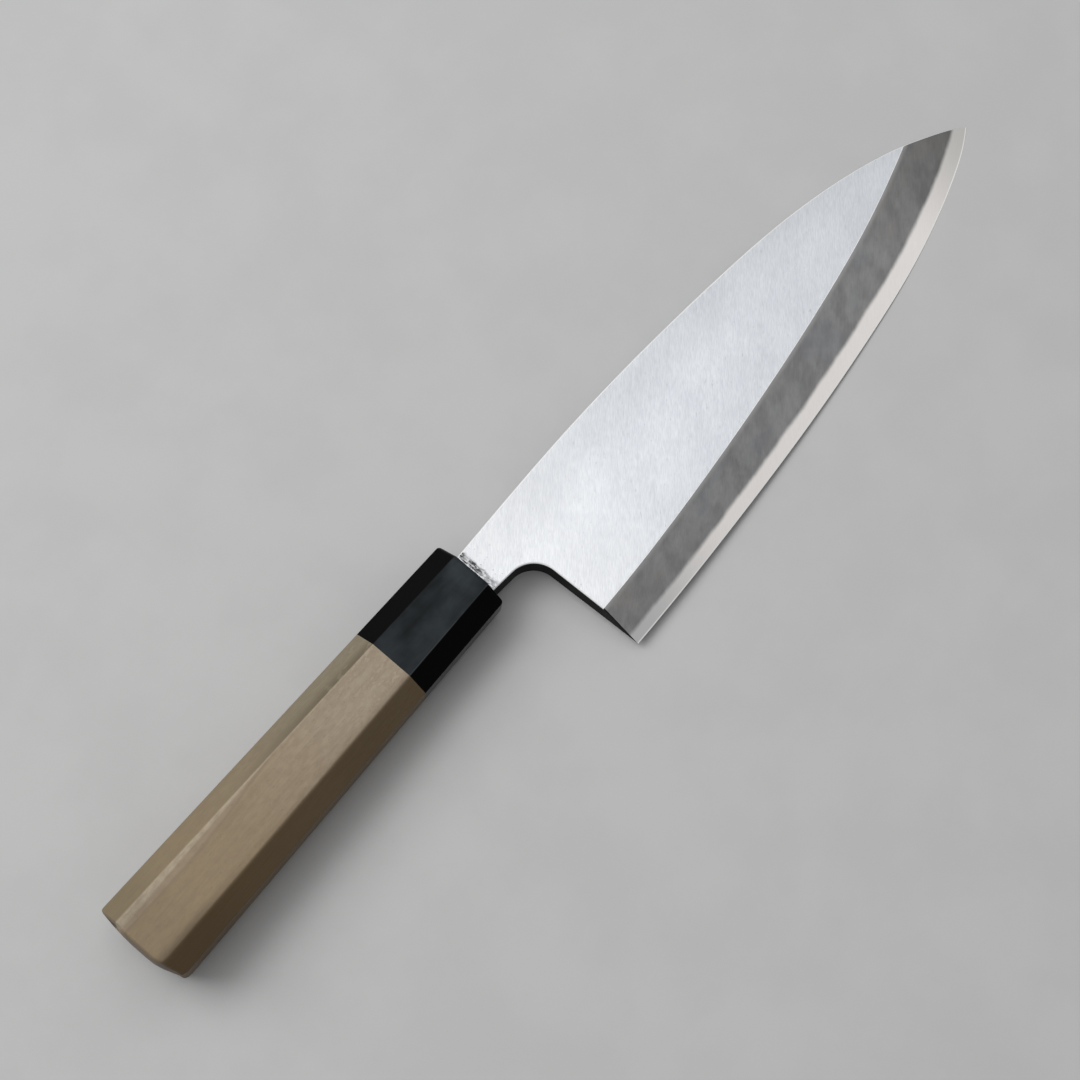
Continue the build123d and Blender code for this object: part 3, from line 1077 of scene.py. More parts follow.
    def hollow(self, x: float, y: float) -> float:
        """Depth of the back's hollow over a point.

        Args:
            x: Place along the blade.
            y: Height above the knife's axis.

        Returns:
            The depth.
        """
        start = self.heel_reach + self.hollow_start
        shares = np.array(self.hollow_shares)
        share = float(np.interp((x - start) / (self.reach - start), shares[:, 0], shares[:, 1]))
        low, high = self.edge_y(x) + self.rim, self.spine_y(x) - self.rim
        if not low < y < high or share <= 0:
            return 0.0
        away = (2 * y - low - high) / (high - low)
        return self.hollow_depth * share * (1 - away * away)

    def choil(self, place: float) -> tuple[np.ndarray, np.ndarray]:
        """Point and direction into the open of the choil's outline on the bevelled side.

        Args:
            place: 0 at the ferrule, 1 where the round begins, 2 where it ends, above that the
                height below the round's end in millimetres plus 2.

        Returns:
            The point and the unit direction out of the blade.
        """
        if place <= 1:
            out = np.array([self.under[1], -self.under[0]])
            return self.root + (self.arc_start - self.root) * place, out
        if place < 2:
            first, last = self.arc_start - self.arc_middle, self.arc_end - self.arc_middle
            whole = math.atan2(last[1], last[0]) - math.atan2(first[1], first[0])
            turn = (place - 1) * ((whole + math.pi) % (2 * math.pi) - math.pi)
            c, s = math.cos(turn), math.sin(turn)
            spoke = np.array([first[0] * c - first[1] * s, first[0] * s + first[1] * c])
            return self.arc_middle + spoke, -spoke / self.choil_radius
        return self.arc_end + self.drop * (place - 2), np.array([self.drop[1], -self.drop[0]])

    def choil_at(self, place: float, z: float) -> np.ndarray:
        """Point of the choil's leaning wall at a height.

        Args:
            place: Place as choil takes it.
            z: Height.

        Returns:
            The point.
        """
        point, out = self.choil(place)
        at = point + out * self.lean * (self.neck_corner.z - z) / self.neck_thickness
        return np.array([0.0, at[1]]) if place == 0 else at

    def choil_column(self, place: float) -> list[Point]:
        """Points over the choil's edge and down its wall at one place of its outline.

        Args:
            place: Place as choil takes it.

        Returns:
            The column of points.
        """
        out = np.array([0.0, -1.0]) if place == 0 else self.choil(place)[1]
        z = self.neck_corner.z
        for _ in range(self.height_tries):
            at = self.choil_at(place, z)
            z = max(self.top_z(at[0], at[1]), self.back)
        thick = z - self.back
        ease = min(self.eased, self.ease_share * thick)
        under = min(self.back_eased, self.ease_share * thick)
        inner = at - out * ease
        ring_z = max(self.top_z(inner[0], inner[1]), self.back)
        angles = quarter(self.ease_steps)
        spots = []
        for angle in angles[:-1]:
            spots.append((inner + out * ease * math.sin(angle), ring_z - ease * (1 - math.cos(angle))))
        foot = ring_z - ease * (1 - math.cos(angles[-1]))
        spots.append((self.choil_at(place, foot), foot))
        joint = max(min(self.layer_z(spots[-1][0][0]), spots[-1][1]), self.back + under)
        spots.append((self.choil_at(place, joint), joint))
        for angle in angles:
            z = self.back + under * (1 - math.sin(angle))
            spots.append((self.choil_at(place, z) - out * under * (1 - math.cos(angle)), z))
        return [(spot[0], spot[1], z) for spot, z in spots]

    def spine_column(self, x: float) -> list[Point]:
        """Points over the spine's edge and down its wall.

        Args:
            x: Place along the blade.

        Returns:
            The column of points.
        """
        top = self.spine_y(x)
        thick = max(self.top_z(x, top) - self.back, 0.0)
        tall = max(top - self.edge_y(x), 0.0) if x > self.heel_reach else top + self.neck_edge
        upper, lower = self.point_ease_shares
        ease = min(self.eased, self.ease_share * thick, upper * tall)
        under = min(self.back_eased, self.ease_share * thick, lower * tall)
        ring_z = max(self.top_z(x, top - ease), self.back)
        angles = quarter(self.ease_steps)
        rows = [(x, top - ease * (1 - math.sin(a)), ring_z - ease * (1 - math.cos(a))) for a in angles]
        rows.append((x, top, max(min(self.layer_z(x), rows[-1][2]), self.back + under)))
        rows += [(x, top - under * (1 - math.cos(a)), self.back + under * (1 - math.sin(a))) for a in angles]
        return rows

    def ring_place(self, gap: Callable[[float], float]) -> float:
        """Place on the choil's outline whose ring stands a given gap above the cutting edge.

        Args:
            gap: Function of x that gives the wanted gap in millimetres.

        Returns:
            The place, as choil takes it.
        """
        place = 2.0 + (self.arc_end[1] + self.heel_depth - gap(self.heel_reach)) / abs(self.drop[1])
        for _ in range(self.place_tries):
            x, y, _z = self.choil_column(place)[0]
            place += (y - self.edge_y(x) - gap(x)) / abs(self.drop[1])
        return place

    def reach_up(self, x: float) -> float:
        """Distance from the edge at x up to the ridge or, past it, to the spine's ring."""
        ring = self.spine_column(x)[0][1]
        return max(min(self.width(x), ring - self.edge_y(x)), 0.0)

    def row_gap(self, row: int, x: float) -> float:
        """Distance from the edge up to one of the bevel's rows, first those of the steel's band.

        Args:
            row: Number of the row.
            x: Place along the blade.

        Returns:
            The distance.
        """
        top = self.reach_up(x)
        steel = min(self.steel_width(x), top)
        if row < len(self.steel_row_shares):
            return steel * self.steel_row_shares[row]
        return steel + (top - steel) * self.iron_row_shares[row - len(self.steel_row_shares)]

    def lay_bevel(self) -> None:
        """Places the bevel's rows from the heel to the point, and the spine's columns above them."""
        count = len(self.steel_row_shares) + len(self.iron_row_shares)
        self.steel_row = len(self.steel_row_shares) - 1
        self.low_places = [self.ring_place(lambda x, row=row: self.row_gap(row, x)) for row in range(count)]
        first = [self.choil_column(place)[0] for place in self.low_places]
        # Columns crowd together towards the point.
        steps = 1 - (1 - np.linspace(0, 1, self.columns + 1)) ** self.crowding
        top_x = [first[-1][0] + (self.reach - first[-1][0]) * u for u in steps]
        self.spine_columns = [self.spine_column(x) for x in top_x]
        # Last column where the ridge lies below the spine.
        self.meeting = max(
            k for k, x in enumerate(top_x[:-1])
            if self.edge_y(x) + self.width(x) < self.spine_columns[k][0][1] - self.least_gap
        )
        self.bevel_rows: Columns = []
        for row, start in enumerate(first):
            line = [start]
            for k, u in enumerate(steps[1:], 1):
                x = start[0] + (self.reach - start[0]) * u
                y = self.edge_y(x) + self.row_gap(row, x)
                past = row == count - 1 and k > self.meeting
                line.append(self.spine_columns[k][0] if past else (x, y, max(self.top_z(x, y), self.back)))
            self.bevel_rows.append(line)
        # First column where the steel's band reaches the spine.
        self.band_end = next(
            k for k in range(self.meeting + 1, self.columns + 1)
            if k == self.columns or self.steel_width(top_x[k]) >= self.reach_up(top_x[k])
        )
        for line in self.bevel_rows[self.steel_row:]:
            line[self.band_end:] = [column[0] for column in self.spine_columns[self.band_end:]]
        self.bevel_rows[0][-1] = self.spine_columns[-1][0]

    def lay_walls(self) -> None:
        """Places the columns of the choil from the heel to the ferrule, and those of the neck's spine."""
        line_place = self.ring_place(lambda x: self.width(x) + self.ridge_line)
        steel_place = min(self.steel_start / self.arc_start[0], 1.0)
        places = self.low_places + list(np.linspace(line_place, 2.0, self.wall_steps + 1))
        stops = ((1.0, self.round_steps), (steel_place, self.under_steps), (0.0, self.neck_steps))
        for stop, steps in stops:
            places += list(np.linspace(places[-1], stop, steps + 1))[1:]
        self.choil_columns = [self.choil_column(place) for place in places]
        self.step_column = len(places) - 1 - self.neck_steps
        neck_x = list(np.linspace(0.0, self.steel_start, self.neck_steps + 1))
        first_x = self.spine_columns[0][0][0]
        neck_x += list(np.linspace(self.steel_start, first_x, self.lead_steps + 1))[1:-1]
        self.spine_all = [self.spine_column(x) for x in neck_x] + self.spine_columns
        self.iron_last = len(neck_x) + self.band_end

    def line_ring(self) -> list[Point]:
        """Corners of the flat face just above the ridge, where its polished line, painted near-white as a
        highlight, ends.

        Returns:
            The corners, from the choil to the point.
        """
        ring = [self.choil_columns[len(self.low_places)][0]]
        for k in range(1, self.meeting + 1):
            x, y, _z = self.bevel_rows[-1][k]
            y = min(y + self.ridge_line, (y + self.spine_columns[k][0][1]) / 2)
            ring.append((x, y, self.face_z(x, y)))
        return ring

    def seam(self) -> list[Point]:
        """Loop round the joint between iron and steel inside the blade.

        Returns:
            Corners round the loop.
        """
        joint = self.joint_row
        loop = [column[joint] for column in self.spine_all[self.neck_steps:self.iron_last + 1]]
        loop += self.spine_all[self.iron_last][:joint][::-1]
        loop += self.bevel_rows[self.steel_row][:self.band_end][::-1]
        loop += self.choil_columns[self.steel_row][1:joint + 1]
        loop += [column[joint] for column in self.choil_columns[self.steel_row + 1:self.step_column + 1]]
        return loop

    def step_face(self) -> list[Point]:
        """Corners of the small upright face behind the choil where the steel layer begins."""
        low, high = self.choil_columns[self.step_column], self.spine_all[self.neck_steps]
        return low[self.joint_row:] + high[self.joint_row:][::-1]

    def tang_box(self, x: float, margin: float = 0.0) -> Box:
        """Size of the tang at one place.

        Args:
            x: Place along the knife.
            margin: Distance added on each side.

        Returns:
            Lowest and highest Y, lowest and highest Z.
        """
        root_top = self.face_z(self.tang_root, -self.neck_edge) - self.tang_shoulder
        share = (self.tang_root - x) / (self.tang_root + self.tang_length)
        low_y, high_y = -self.neck_edge + self.tang_shoulder, self.neck_spine - self.tang_shoulder
        low_z, middle = self.back + self.tang_shoulder, (low_y + high_y) / 2
        low_y += (middle - self.tang_end_height / 2 - low_y) * share
        high_y += (middle + self.tang_end_height / 2 - high_y) * share
        low_z += (-self.tang_end_thickness / 2 - low_z) * share
        high_z = root_top + (self.tang_end_thickness / 2 - root_top) * share
        return low_y - margin, high_y + margin, low_z - margin, high_z + margin

    def tang_loop(self, x: float) -> list[Point]:
        """Corners round the tang at one place, one for each corner round the neck's end.

        Args:
            x: Place along the knife.

        Returns:
            The corners.
        """
        low_y, high_y, low_z, high_z = self.tang_box(x)
        middle, many = (low_z + high_z) / 2, self.joint_row
        near = [(x, low_y, high_z)] * many + [(x, low_y, middle)] + [(x, low_y, low_z)] * many
        far = [(x, high_y, low_z)] * many + [(x, high_y, middle)] + [(x, high_y, high_z)] * many
        return near + far

    def upper_wall(self, shell: Shell, columns: Columns, finish: Finish) -> None:
        """Adds the eased upper edge and the wall down to the joint between iron and steel.

        Args:
            shell: Shell that takes the faces.
            columns: Columns of the wall.
            finish: Finish of the wall.
        """
        shell.over(columns, range(self.ease_steps), Finish.LINE)
        shell.over(columns, range(self.ease_steps, self.joint_row), finish)

    def lower_wall(self, shell: Shell, columns: Columns, finish: Finish) -> None:
        """Adds the wall below the joint and the eased lower edge, as upper_wall does above it.

        Args:
            shell: Shell that takes the faces.
            columns: Columns of the wall.
            finish: Finish of the wall.
        """
        shell.over(columns, range(self.joint_row, self.joint_row + 1), finish)
        shell.over(columns, range(self.joint_row + 1, self.back_row), Finish.LINE)

    def iron(self) -> Shell:
        """Faces of the soft iron body with its tang.

        Returns:
            The shell.
        """
        shell = Shell()
        ring = self.line_ring()
        ridge, low = self.bevel_rows[-1], len(self.low_places)
        join = self.spine_columns[self.meeting + 1][0]
        neck = len(self.spine_all) - len(self.spine_columns)
        spine_ring = [column[0] for column in self.spine_all[:neck + self.meeting + 1]]
        choil_ring = [column[0] for column in self.choil_columns[low + 1:]]
        shell.face(ring + [join] + spine_ring[::-1] + choil_ring[::-1], Finish.GROUND)
        shell.sheet([ridge[:self.meeting + 1], ring], Finish.LINE)
        shell.face([ridge[self.meeting], ring[self.meeting], join], Finish.LINE)
        shell.sheet([row[:self.band_end + 1] for row in self.bevel_rows[self.steel_row:]], Finish.HONED)
        self.upper_wall(shell, self.spine_all[:self.iron_last + 1], Finish.SPINE)
        shell.over(self.choil_columns[self.steel_row:low], range(self.joint_row), Finish.WALL)
        self.upper_wall(shell, self.choil_columns[low - 1:], Finish.WALL)
        back_spine = self.spine_all[:self.neck_steps + 1]
        back_choil = self.choil_columns[self.step_column:]
        self.lower_wall(shell, back_spine, Finish.SPINE)
        self.lower_wall(shell, back_choil, Finish.WALL)
        shell.face([column[self.back_row] for column in back_choil + back_spine], Finish.BACK)
        shell.face(self.seam(), Finish.FORGED)
        shell.face(self.step_face(), Finish.FORGED)
        end = self.choil_columns[-1] + self.spine_all[0][::-1]
        loops = [end, self.tang_loop(0.0), self.tang_loop(-self.tang_length)]
        shell.sheet(loops, Finish.FORGED, closed=True)
        shell.face(loops[-1], Finish.FORGED)
        return shell

    def steel(self) -> Shell:
        """Faces of the hard steel layer, with the flat back and its hollow.

        Returns:
            The shell.
        """
        shell = Shell()
        shell.sheet(self.bevel_rows[:self.steel_row + 1], Finish.HONED)
        self.lower_wall(shell, self.spine_all[self.neck_steps:], Finish.SPINE)
        self.lower_wall(shell, self.choil_columns[:self.step_column + 1], Finish.WALL)
        shell.over(self.spine_all[self.iron_last:], range(self.joint_row), Finish.SPINE)
        shell.over(self.choil_columns[:self.steel_row + 1], range(self.joint_row), Finish.WALL)
        shell.face(self.seam(), Finish.FORGED)
        shell.face(self.step_face(), Finish.FORGED)
        self.flat_back(shell)
        return shell

    def flat_back(self, shell: Shell) -> None:
        """Adds the back: the rim that lies on the stone, and the hollow inside it.

        Args:
            shell: Shell that takes the faces.
        """
        columns = []
        for k in range(self.columns + 1):
            low, high = self.bevel_rows[0][k], self.spine_columns[k][self.back_row]
            tall = high[1] - low[1]
            rim = min(self.rim, tall * self.rim_share)
            ups = [rim * share for share in self.rim_row_shares]
            free = tall - 2 * rim
            ups += [rim + free * step / self.hollow_steps for step in range(1, self.hollow_steps)]
            ups += [tall - rim * share for share in self.upper_rim_shares]
            column = [low]
            for up in ups[1:-1]:
                x = low[0] + (high[0] - low[0]) * (up / tall if tall > 0 else 0)
                y = low[1] + up
                column.append((x, y, self.back + self.hollow(x, y)))
            columns.append(column + [high])
        shell.sheet(columns, Finish.BACK)
        behind = [column[self.back_row] for column in self.choil_columns[:self.step_column + 1]]
        neck = len(self.spine_all) - len(self.spine_columns)
        above = [column[self.back_row] for column in self.spine_all[self.neck_steps:neck]]
        shell.face(behind + above + columns[0][::-1], Finish.BACK)

    def build(self, wardrobe: Wardrobe) -> list[bpy.types.Object]:
        """Makes the two layers of the blade.

        Args:
            wardrobe: Material of each finish.

        Returns:
            The soft iron body and the hard steel layer.
        """
        values = {
            "above_edge": lambda x, y, z: y - self.edge_y(x),
            "above_steel": lambda x, y, z: y - self.edge_y(x) - self.steel_width(x),
            "below_ridge": lambda x, y, z: self.edge_y(x) + self.width(x) - y,
            "along": lambda x, y, z: x - self.heel_reach,
            "ahead": lambda x, y, z: x,
            "across": lambda x, y, z: y,
            "scoop": lambda x, y, z: self.hollow(x, y) if z < self.back + self.hollow_depth else 0.0,
        }
        body = self.iron().piece("soft_iron_body", wardrobe, values)
        layer = self.steel().piece("hard_steel_layer", wardrobe, values)
        return [put_on(body, "blade_body"), put_on(layer, "cutting_steel")]


@dataclass
class Handle:
    """Eight-sided wooden handle with its black horn ferrule, from X 0 at its front back to its butt."""

    blade: Blade
    length: float = 134.77
    ferrule: float = 33.3
    # Half height and half thickness at the front and at the butt, and what is cut from each corner.
    front: Span = (11.75, 10.45)
    butt: Span = (14.1, 12.1)
    cut: float = 5.8
    # Roundings, and the height of the butt's crown.
    ferrule_round: float = 1.2
    crown: float = 1.3
    butt_round: float = 0.9
    edge_round: float = 0.9
    horn_edge_round: float = 0.4
    tenon_edge_round: float = 0.3
    # Worn lower corner of the butt: its reach and depth, where it starts below the axis, how far
    # down it deepens, and the share of its depth that is worn off the end.
    corner_wear: Span = (5.5, 3.1)
    wear_start: float = 5.0
    wear_fade: float = 8.0
    wear_end_share: float = 0.6
    # Chip at the butt, on the broad facet's upper edge: its length, half width and depth, its offset
    # from that edge, the height above which it lies, and the shares of its depth forward and down.
    chip: Point = (1.7, 2.7, 1.0)
    chip_offset: float = 0.4
    chip_floor: float = 4.0
    chip_shares: Span = (0.5, 0.3)
    # Distances of the points beside each long edge, up to a share of the facet.
    facet_places: tuple[float, ...] = (0.5, 1.1, 1.9, 2.8)
    facet_share: float = 0.45
    # Tenon: its length, half height, half thickness and the cut at its corners.
    tenon: Box = (20.0, 9.2, 7.6, 3.6)
    # Gap for the glue round the tenon, gap for the resin round the tang and past its end.
    glue: float = 0.15
    bed: float = 0.8
    bed_end: float = 1.5
    # Steps of the mesh, and shares that set its rows.
    round_steps: int = 6
    wood_steps: int = 50
    wood_share: float = 0.95
    end_steps: int = 12
    horn_steps: int = 20
    end_ring_shares: tuple[float, ...] = (0.9, 0.75, 0.6, 0.4, 0.2)
    sharp_angle: float = 30.0

    @property
    def per_corner(self) -> int:
        """Points of an outline that belong to one of its corners and the facet after it."""
        return self.round_steps + 1 + 2 * len(self.facet_places)

    def half_sizes(self, x: float) -> Span:
        """Half height and half thickness of the handle at x."""
        share = -x / self.length
        return tuple(first + (last - first) * share for first, last in zip(self.front, self.butt))

    def ring(self, x: float, inset: float, edge_round: float) -> list[Point]:
        """Rounded eight-sided outline across the handle.

        Args:
            x: Place along the handle.
            inset: Distance by which the outline is pulled in.
            edge_round: Radius of its long edges.

        Returns:
            Points of the outline.
        """
        high, thick = self.half_sizes(x)
        # Sides and sloping facets all move in by the inset, which shortens what is cut at a corner.
        cut = self.cut - inset * (2 - math.sqrt(2))
        return self.eight(x, high - inset, thick - inset, cut, edge_round)

    def eight(self, x: float, high: float, thick: float, cut: float, edge_round: float) -> list[Point]:
        """Eight-sided outline with rounded corners, from its half sizes.

        Args:
            x: Place along the handle.
            high: Half height.
            thick: Half thickness.
            cut: Length cut from each side at a corner.
            edge_round: Radius of the corners.

        Returns:
            Points of the outline.
        """
        fy, fz = high - cut, thick - cut
        corners = [
            Vector((high, -fz)), Vector((high, fz)), Vector((fy, thick)), Vector((-fy, thick)),
            Vector((-high, fz)), Vector((-high, -fz)), Vector((-fy, -thick)), Vector((fy, -thick)),
        ]
        away = edge_round * math.tan(math.pi / len(corners))
        loop = []
        for k, corner in enumerate(corners):
            before = (corners[k - 1] - corner).normalized()
            side = corners[(k + 1) % len(corners)] - corner
            after = side.normalized()
            start, end = corner + before * away, corner + after * away
            for step in range(self.round_steps + 1):
                s = step / self.round_steps
                loop.append(start * (1 - s) ** 2 + corner * 2 * s * (1 - s) + end * s * s)
            free = side.length - 2 * away
            shares = [min(place / free, self.facet_share) for place in self.facet_places]
            loop += [end + after * free * share for share in shares + [1 - share for share in shares[::-1]]]
        return [(x, spot.x, spot.y) for spot in loop]

    def channel(self, x: float) -> list[Point]:
        """Corners of the tang's channel, one for each point of an outline.

        Args:
            x: Place along the handle.

        Returns:
            The corners.
        """
        low_y, high_y, low_z, high_z = self.blade.tang_box(x, self.bed)
        order = [
            (high_y, low_z), (high_y, high_z), (high_y, high_z), (low_y, high_z),
            (low_y, high_z), (low_y, low_z), (low_y, low_z), (high_y, low_z),
        ]
        return [(x, y, z) for y, z in order for _ in range(self.per_corner)]

    def socket(self, x: float, margin: float) -> list[Point]:
        """Tenon's outline at x, larger by a margin."""
        _long, high, thick, cut = self.tenon
        return self.eight(x, high + margin, thick + margin, cut, self.tenon_edge_round)

    def crowned(self, y: float, z: float) -> float:
        """Place along X of the crowned butt over a point."""
        radius = (self.butt[0] ** 2 + self.crown ** 2) / (2 * self.crown)
        return radius - self.length - math.sqrt(radius * radius - y * y - z * z)

    def share_over(self, x: float, y: float) -> float:
        """Place across the broad facet, 1 and -1 at its long edges."""
        return y / (self.half_sizes(x)[0] - self.cut)

    def handled(self, point: Point) -> Point:
        """Moves a point near the butt for the rounded corner and the chip that use has left.

        Args:
            point: Point on the handle as it was made.

        Returns:
            The point, moved inwards where the wood is worn.
        """
        x, y, z = point
        behind = x + self.length
        reach, depth = self.corner_wear
        near = max(0.0, 1 - behind / reach)
        side = min(max((-y - self.wear_start) / self.wear_fade, 0.0), 1.0)
        y += depth * side * (1 - math.sqrt(max(0.0, 1 - near * near)))
        x += depth * self.wear_end_share * side * side * near * near
        if z <= self.chip_floor:
            return x, y, z
        long, wide, deep = self.chip
        gap = y - (self.butt[0] - self.cut + self.chip_offset)
        weight = deep * max(0.0, 1 - (behind / long) ** 2) * max(0.0, 1 - (gap / wide) ** 2)
        forward, down = self.chip_shares
        return x + forward * weight, y - down * weight, z - weight

    def wood(self) -> Shell:
        """Faces of the wooden handle with its tenon and its channel.

        Returns:
            The shell.
        """
        shell = Shell()
        joint, end = -self.ferrule, self.crown * 2 - self.length
        steps = [k / self.wood_steps * self.wood_share for k in range(self.wood_steps)]
        last = 1 - self.wood_share
        steps += [self.wood_share + k / self.end_steps * last for k in range(self.end_steps + 1)]
        rows = [self.ring(joint + (end - joint) * step, 0.0, self.edge_round) for step in steps]
        inner = self.ring(end, self.butt_round, self.edge_round)
        for angle in quarter(self.round_steps)[1:]:
            outer = self.ring(end, self.butt_round * (1 - math.cos(angle)), self.edge_round)
            drawn = self.butt_round * (1 - math.sin(angle))
            crown = [self.crowned(y, z) + drawn for _x, y, z in inner]
            rows.append([(x, y, z) for x, (_x, y, z) in zip(crown, outer)])
        plain = len(rows) - 1
        for share in self.end_ring_shares:
            rows.append([(self.crowned(y * share, z * share), y * share, z * share) for _x, y, z in inner])
        rows = [[self.handled(point) for point in row] for row in rows]
        shell.sheet(rows[:plain + 1], Finish.WOOD, closed=True)
        shell.sheet(rows[plain:], Finish.END_GRAIN, closed=True)
        shell.face(rows[-1], Finish.END_GRAIN)
        tip, close = joint + self.tenon[0], -self.blade.tang_length - self.bed_end
        inside = [rows[0], self.socket(joint, 0.0), self.socket(tip, 0.0)]
        inside += [self.channel(tip), self.channel(close)]
        shell.sheet(inside, Finish.WOOD, closed=True)
        shell.face(inside[-1], Finish.WOOD)
        return shell

    def horn(self) -> Shell:
        """Faces of the ferrule with its rounded front, its mouth and its socket.

        Returns:
            The shell.
        """
        shell = Shell()
        joint, tip = -self.ferrule, self.tenon[0] - self.ferrule + self.glue
        rows = [self.channel(0.0)]
        for angle in quarter(self.round_steps):
            drawn = self.ferrule_round * (1 - math.sin(angle))
            rows.append(self.ring(-self.ferrule_round * (1 - math.cos(angle)), drawn, self.horn_edge_round))
        for k in range(1, self.horn_steps + 1):
            x = -self.ferrule_round + (joint + self.ferrule_round) * k / self.horn_steps
            rows.append(self.ring(x, 0.0, self.horn_edge_round))
        rows += [self.socket(joint, self.glue), self.socket(tip, self.glue)]
        rows += [self.channel(tip), self.channel(0.0)]
        shell.sheet(rows, Finish.HORN, closed=True)
        return shell

    def build(self, wardrobe: Wardrobe) -> list[bpy.types.Object]:
        """Makes the handle and the ferrule.

        Args:
            wardrobe: Material of each finish.

        Returns:
            The wooden handle and the horn ferrule.
        """
        values = {"along": lambda x, y, z: -x, "over": lambda x, y, z: self.share_over(x, y)}
        wood = self.wood().piece("magnolia_handle", wardrobe, values, self.sharp_angle)
        horn = self.horn().piece("horn_ferrule", wardrobe, values, self.sharp_angle)
        return [put_on(wood, "handle_body"), put_on(horn, "ferrule")]


@dataclass
class Bedding:
    """Resin round the tang, its seal and the glue, which keep their own shapes."""

    nodes: tuple[str, ...] = ("mouth_seal", "tang_bed", "ferrule_glue")

    def dress(self, wardrobe: Wardrobe) -> None:
        """Gives the pieces the resin's finish.

        Args:
            wardrobe: Material of each finish.
        """
        for name in self.nodes:
            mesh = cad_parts[name].data
            mesh.materials.clear()
            mesh.materials.append(wardrobe[Finish.RESIN])
            log.info("%s: dressed", name)


@dataclass(frozen=True)
class Lamp:
    """Square soft lamp: where it hangs, its side and its aim in metres, and its brightness, 1 for white."""

    name: str
    place: Point
    level: float
    aim: Point
    side: float = 1.2

    def hang(self) -> None:
        """Adds the lamp to the scene."""
        data = bpy.data.lights.new(self.name, "AREA")
        data.shape, data.size = "SQUARE", self.side
        data.energy = self.level * math.pi * self.side * self.side
        made = bpy.data.objects.new(self.name, data)
        bpy.context.scene.collection.objects.link(made)
        made.location = self.place
        made.rotation_euler = (Vector(self.aim) - Vector(self.place)).to_track_quat("-Z", "Y").to_euler()


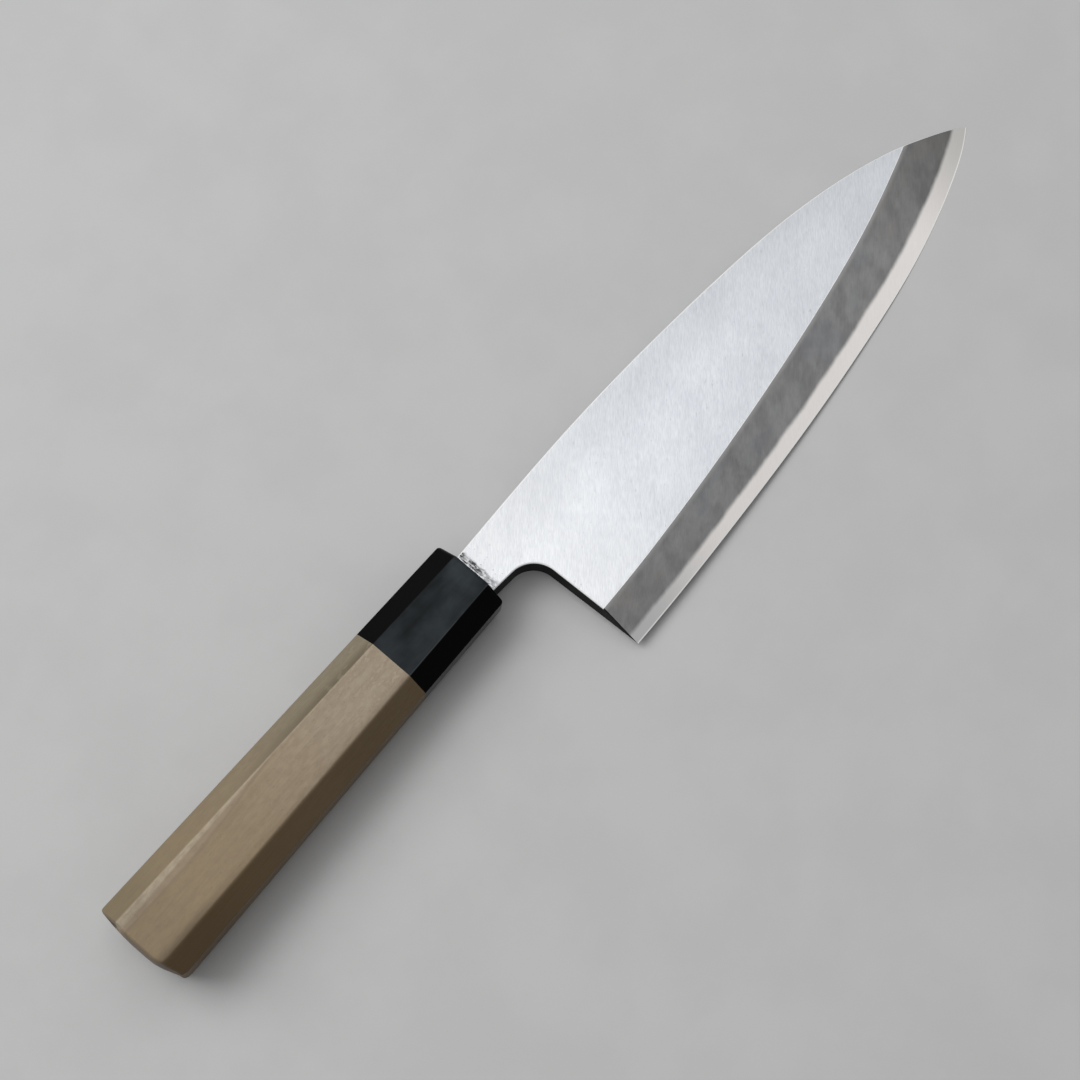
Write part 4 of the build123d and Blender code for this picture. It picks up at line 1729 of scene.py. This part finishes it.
@dataclass
class Studio:
    """Pale bench, soft lamps and the camera, whose directions are given in the knife's own axes."""

    # Directions to the camera's right, down and ahead, and millimetres along them from the camera
    # to the ferrule's front.
    right: Point = (0.648706, -0.75925, 0.052163)
    down: Point = (-0.733886, -0.642235, -0.221235)
    ahead: Point = (0.201474, 0.105235, -0.973824)
    offset: Point = (-18.938, 10.168, 769.357)
    # Lens length and picture width in pixels of the photograph.
    lens_pixels: float = 2800.0
    picture_pixels: float = 1080.0
    sensor: float = 36.0
    clip: Span = (0.01, 20.0)
    bench_half: float = 2.5
    world_level: float = 0.32
    lamps: tuple[Lamp, ...] = (
        Lamp("overhead", (0.15, 0.4, 1.15), 1.13, (0.15, 0.36, 0.0)),
        Lamp("window", (-0.45, 1.0, 1.4), 3.6, (0.04, 0.0, 0.0)),
    )

    def bench(self, wardrobe: Wardrobe) -> None:
        """Lays the pale bench under the knife.

        Args:
            wardrobe: Material of each finish.
        """
        mesh = bpy.data.meshes.new("bench")
        half = self.bench_half
        corners = [(-half, -half, 0), (half, -half, 0), (half, half, 0), (-half, half, 0)]
        mesh.from_pydata(corners, [], [(0, 1, 2, 3)])
        mesh.materials.append(wardrobe[Finish.BENCH])
        made = bpy.data.objects.new("bench", mesh)
        bpy.context.scene.collection.objects.link(made)

    def camera(self) -> None:
        """Sets the camera at the photograph's viewing angle."""
        data = bpy.data.cameras.new("camera")
        data.sensor_width = self.sensor
        data.lens = self.lens_pixels / self.picture_pixels * self.sensor
        data.clip_start, data.clip_end = self.clip
        made = bpy.data.objects.new("camera", data)
        bpy.context.scene.collection.objects.link(made)
        right, down, ahead = (Vector(v) for v in (self.right, self.down, self.ahead))
        x, y, z = self.offset
        spot = -(right * x + down * y + ahead * z) * MM
        turn = Matrix((right, -down, -ahead)).transposed().to_4x4()
        made.matrix_world = LYING @ Matrix.Translation(spot) @ turn
        bpy.context.scene.camera = made

    def world(self) -> None:
        """Fills the room with even soft light."""
        world = bpy.data.worlds.new("room")
        bpy.context.scene.world = world
        world.use_nodes = True
        shade = world.node_tree.nodes["Background"]
        shade.inputs["Color"].default_value = (1, 1, 1, 1)
        shade.inputs["Strength"].default_value = self.world_level

    def build(self, wardrobe: Wardrobe) -> None:
        """Sets up the bench, the light and the camera.

        Args:
            wardrobe: Material of each finish.
        """
        self.bench(wardrobe)
        self.world()
        for lamp in self.lamps:
            lamp.hang()
        self.camera()
        bpy.context.scene.view_settings.view_transform = "Standard"


def fill_wardrobe() -> Wardrobe:
    """Builds the material of every finish.

    Returns:
        Material of each finish.
    """
    # Eased edges: polish, painted near-white and mostly non-metal as a highlight.
    edge_polish_and_highlight = PlainSteel(
        Finish.LINE.value, (0.95, 0.955, 0.96), (0.86, 0.865, 0.87), (0.29, 0.39), metal=0.2,
    )
    spine = PlainSteel(Finish.SPINE.value, (0.56, 0.565, 0.57), (0.42, 0.425, 0.43), (0.33, 0.43))
    # Near-black choil wall: partly forge black, partly painted shade and a painted dark reflection.
    wall = PlainSteel(
        Finish.WALL.value, (0.014, 0.0142, 0.015), (0.006, 0.006, 0.0065), (0.55, 0.65),
        metal=0.0, gloss=1.15,
    )
    forged = PlainSteel(
        Finish.FORGED.value, (0.10, 0.09, 0.085), (0.05, 0.045, 0.045), (0.65, 0.75),
        lines=Grain(600, rough=0.6), relief=(0.05, 0.5),
    )
    # End grain darker than the long grain: partly its own tone, partly painted shade on the rounded butt.
    end_grain = Magnolia(
        Finish.END_GRAIN.value, back=(0.155, 0.118, 0.072), bands=Grain(190, stretch=(1, 1, 0.4)),
        fibres=Grain(1700, rough=0.6), pores=Grain(2600, detail=2, rough=0.6),
    )
    looks = (
        GroundIron(), HonedBevel(), edge_polish_and_highlight, spine, wall, StonedBack(), forged,
        BlackHorn(), Magnolia(), end_grain, Resin(), PaleBoard(),
    )
    return {Finish(look.name): look.material() for look in looks}


def main() -> None:
    """Builds the knife and its studio in order."""
    logging.basicConfig(level=logging.INFO, format="%(name)s: %(message)s")
    wardrobe = fill_wardrobe()
    blade = Blade()
    for made in blade.build(wardrobe) + Handle(blade).build(wardrobe):
        log.info("%s rides on root", made.name)
    Bedding().dress(wardrobe)
    Studio().build(wardrobe)


if __name__ == "__main__":
    main()
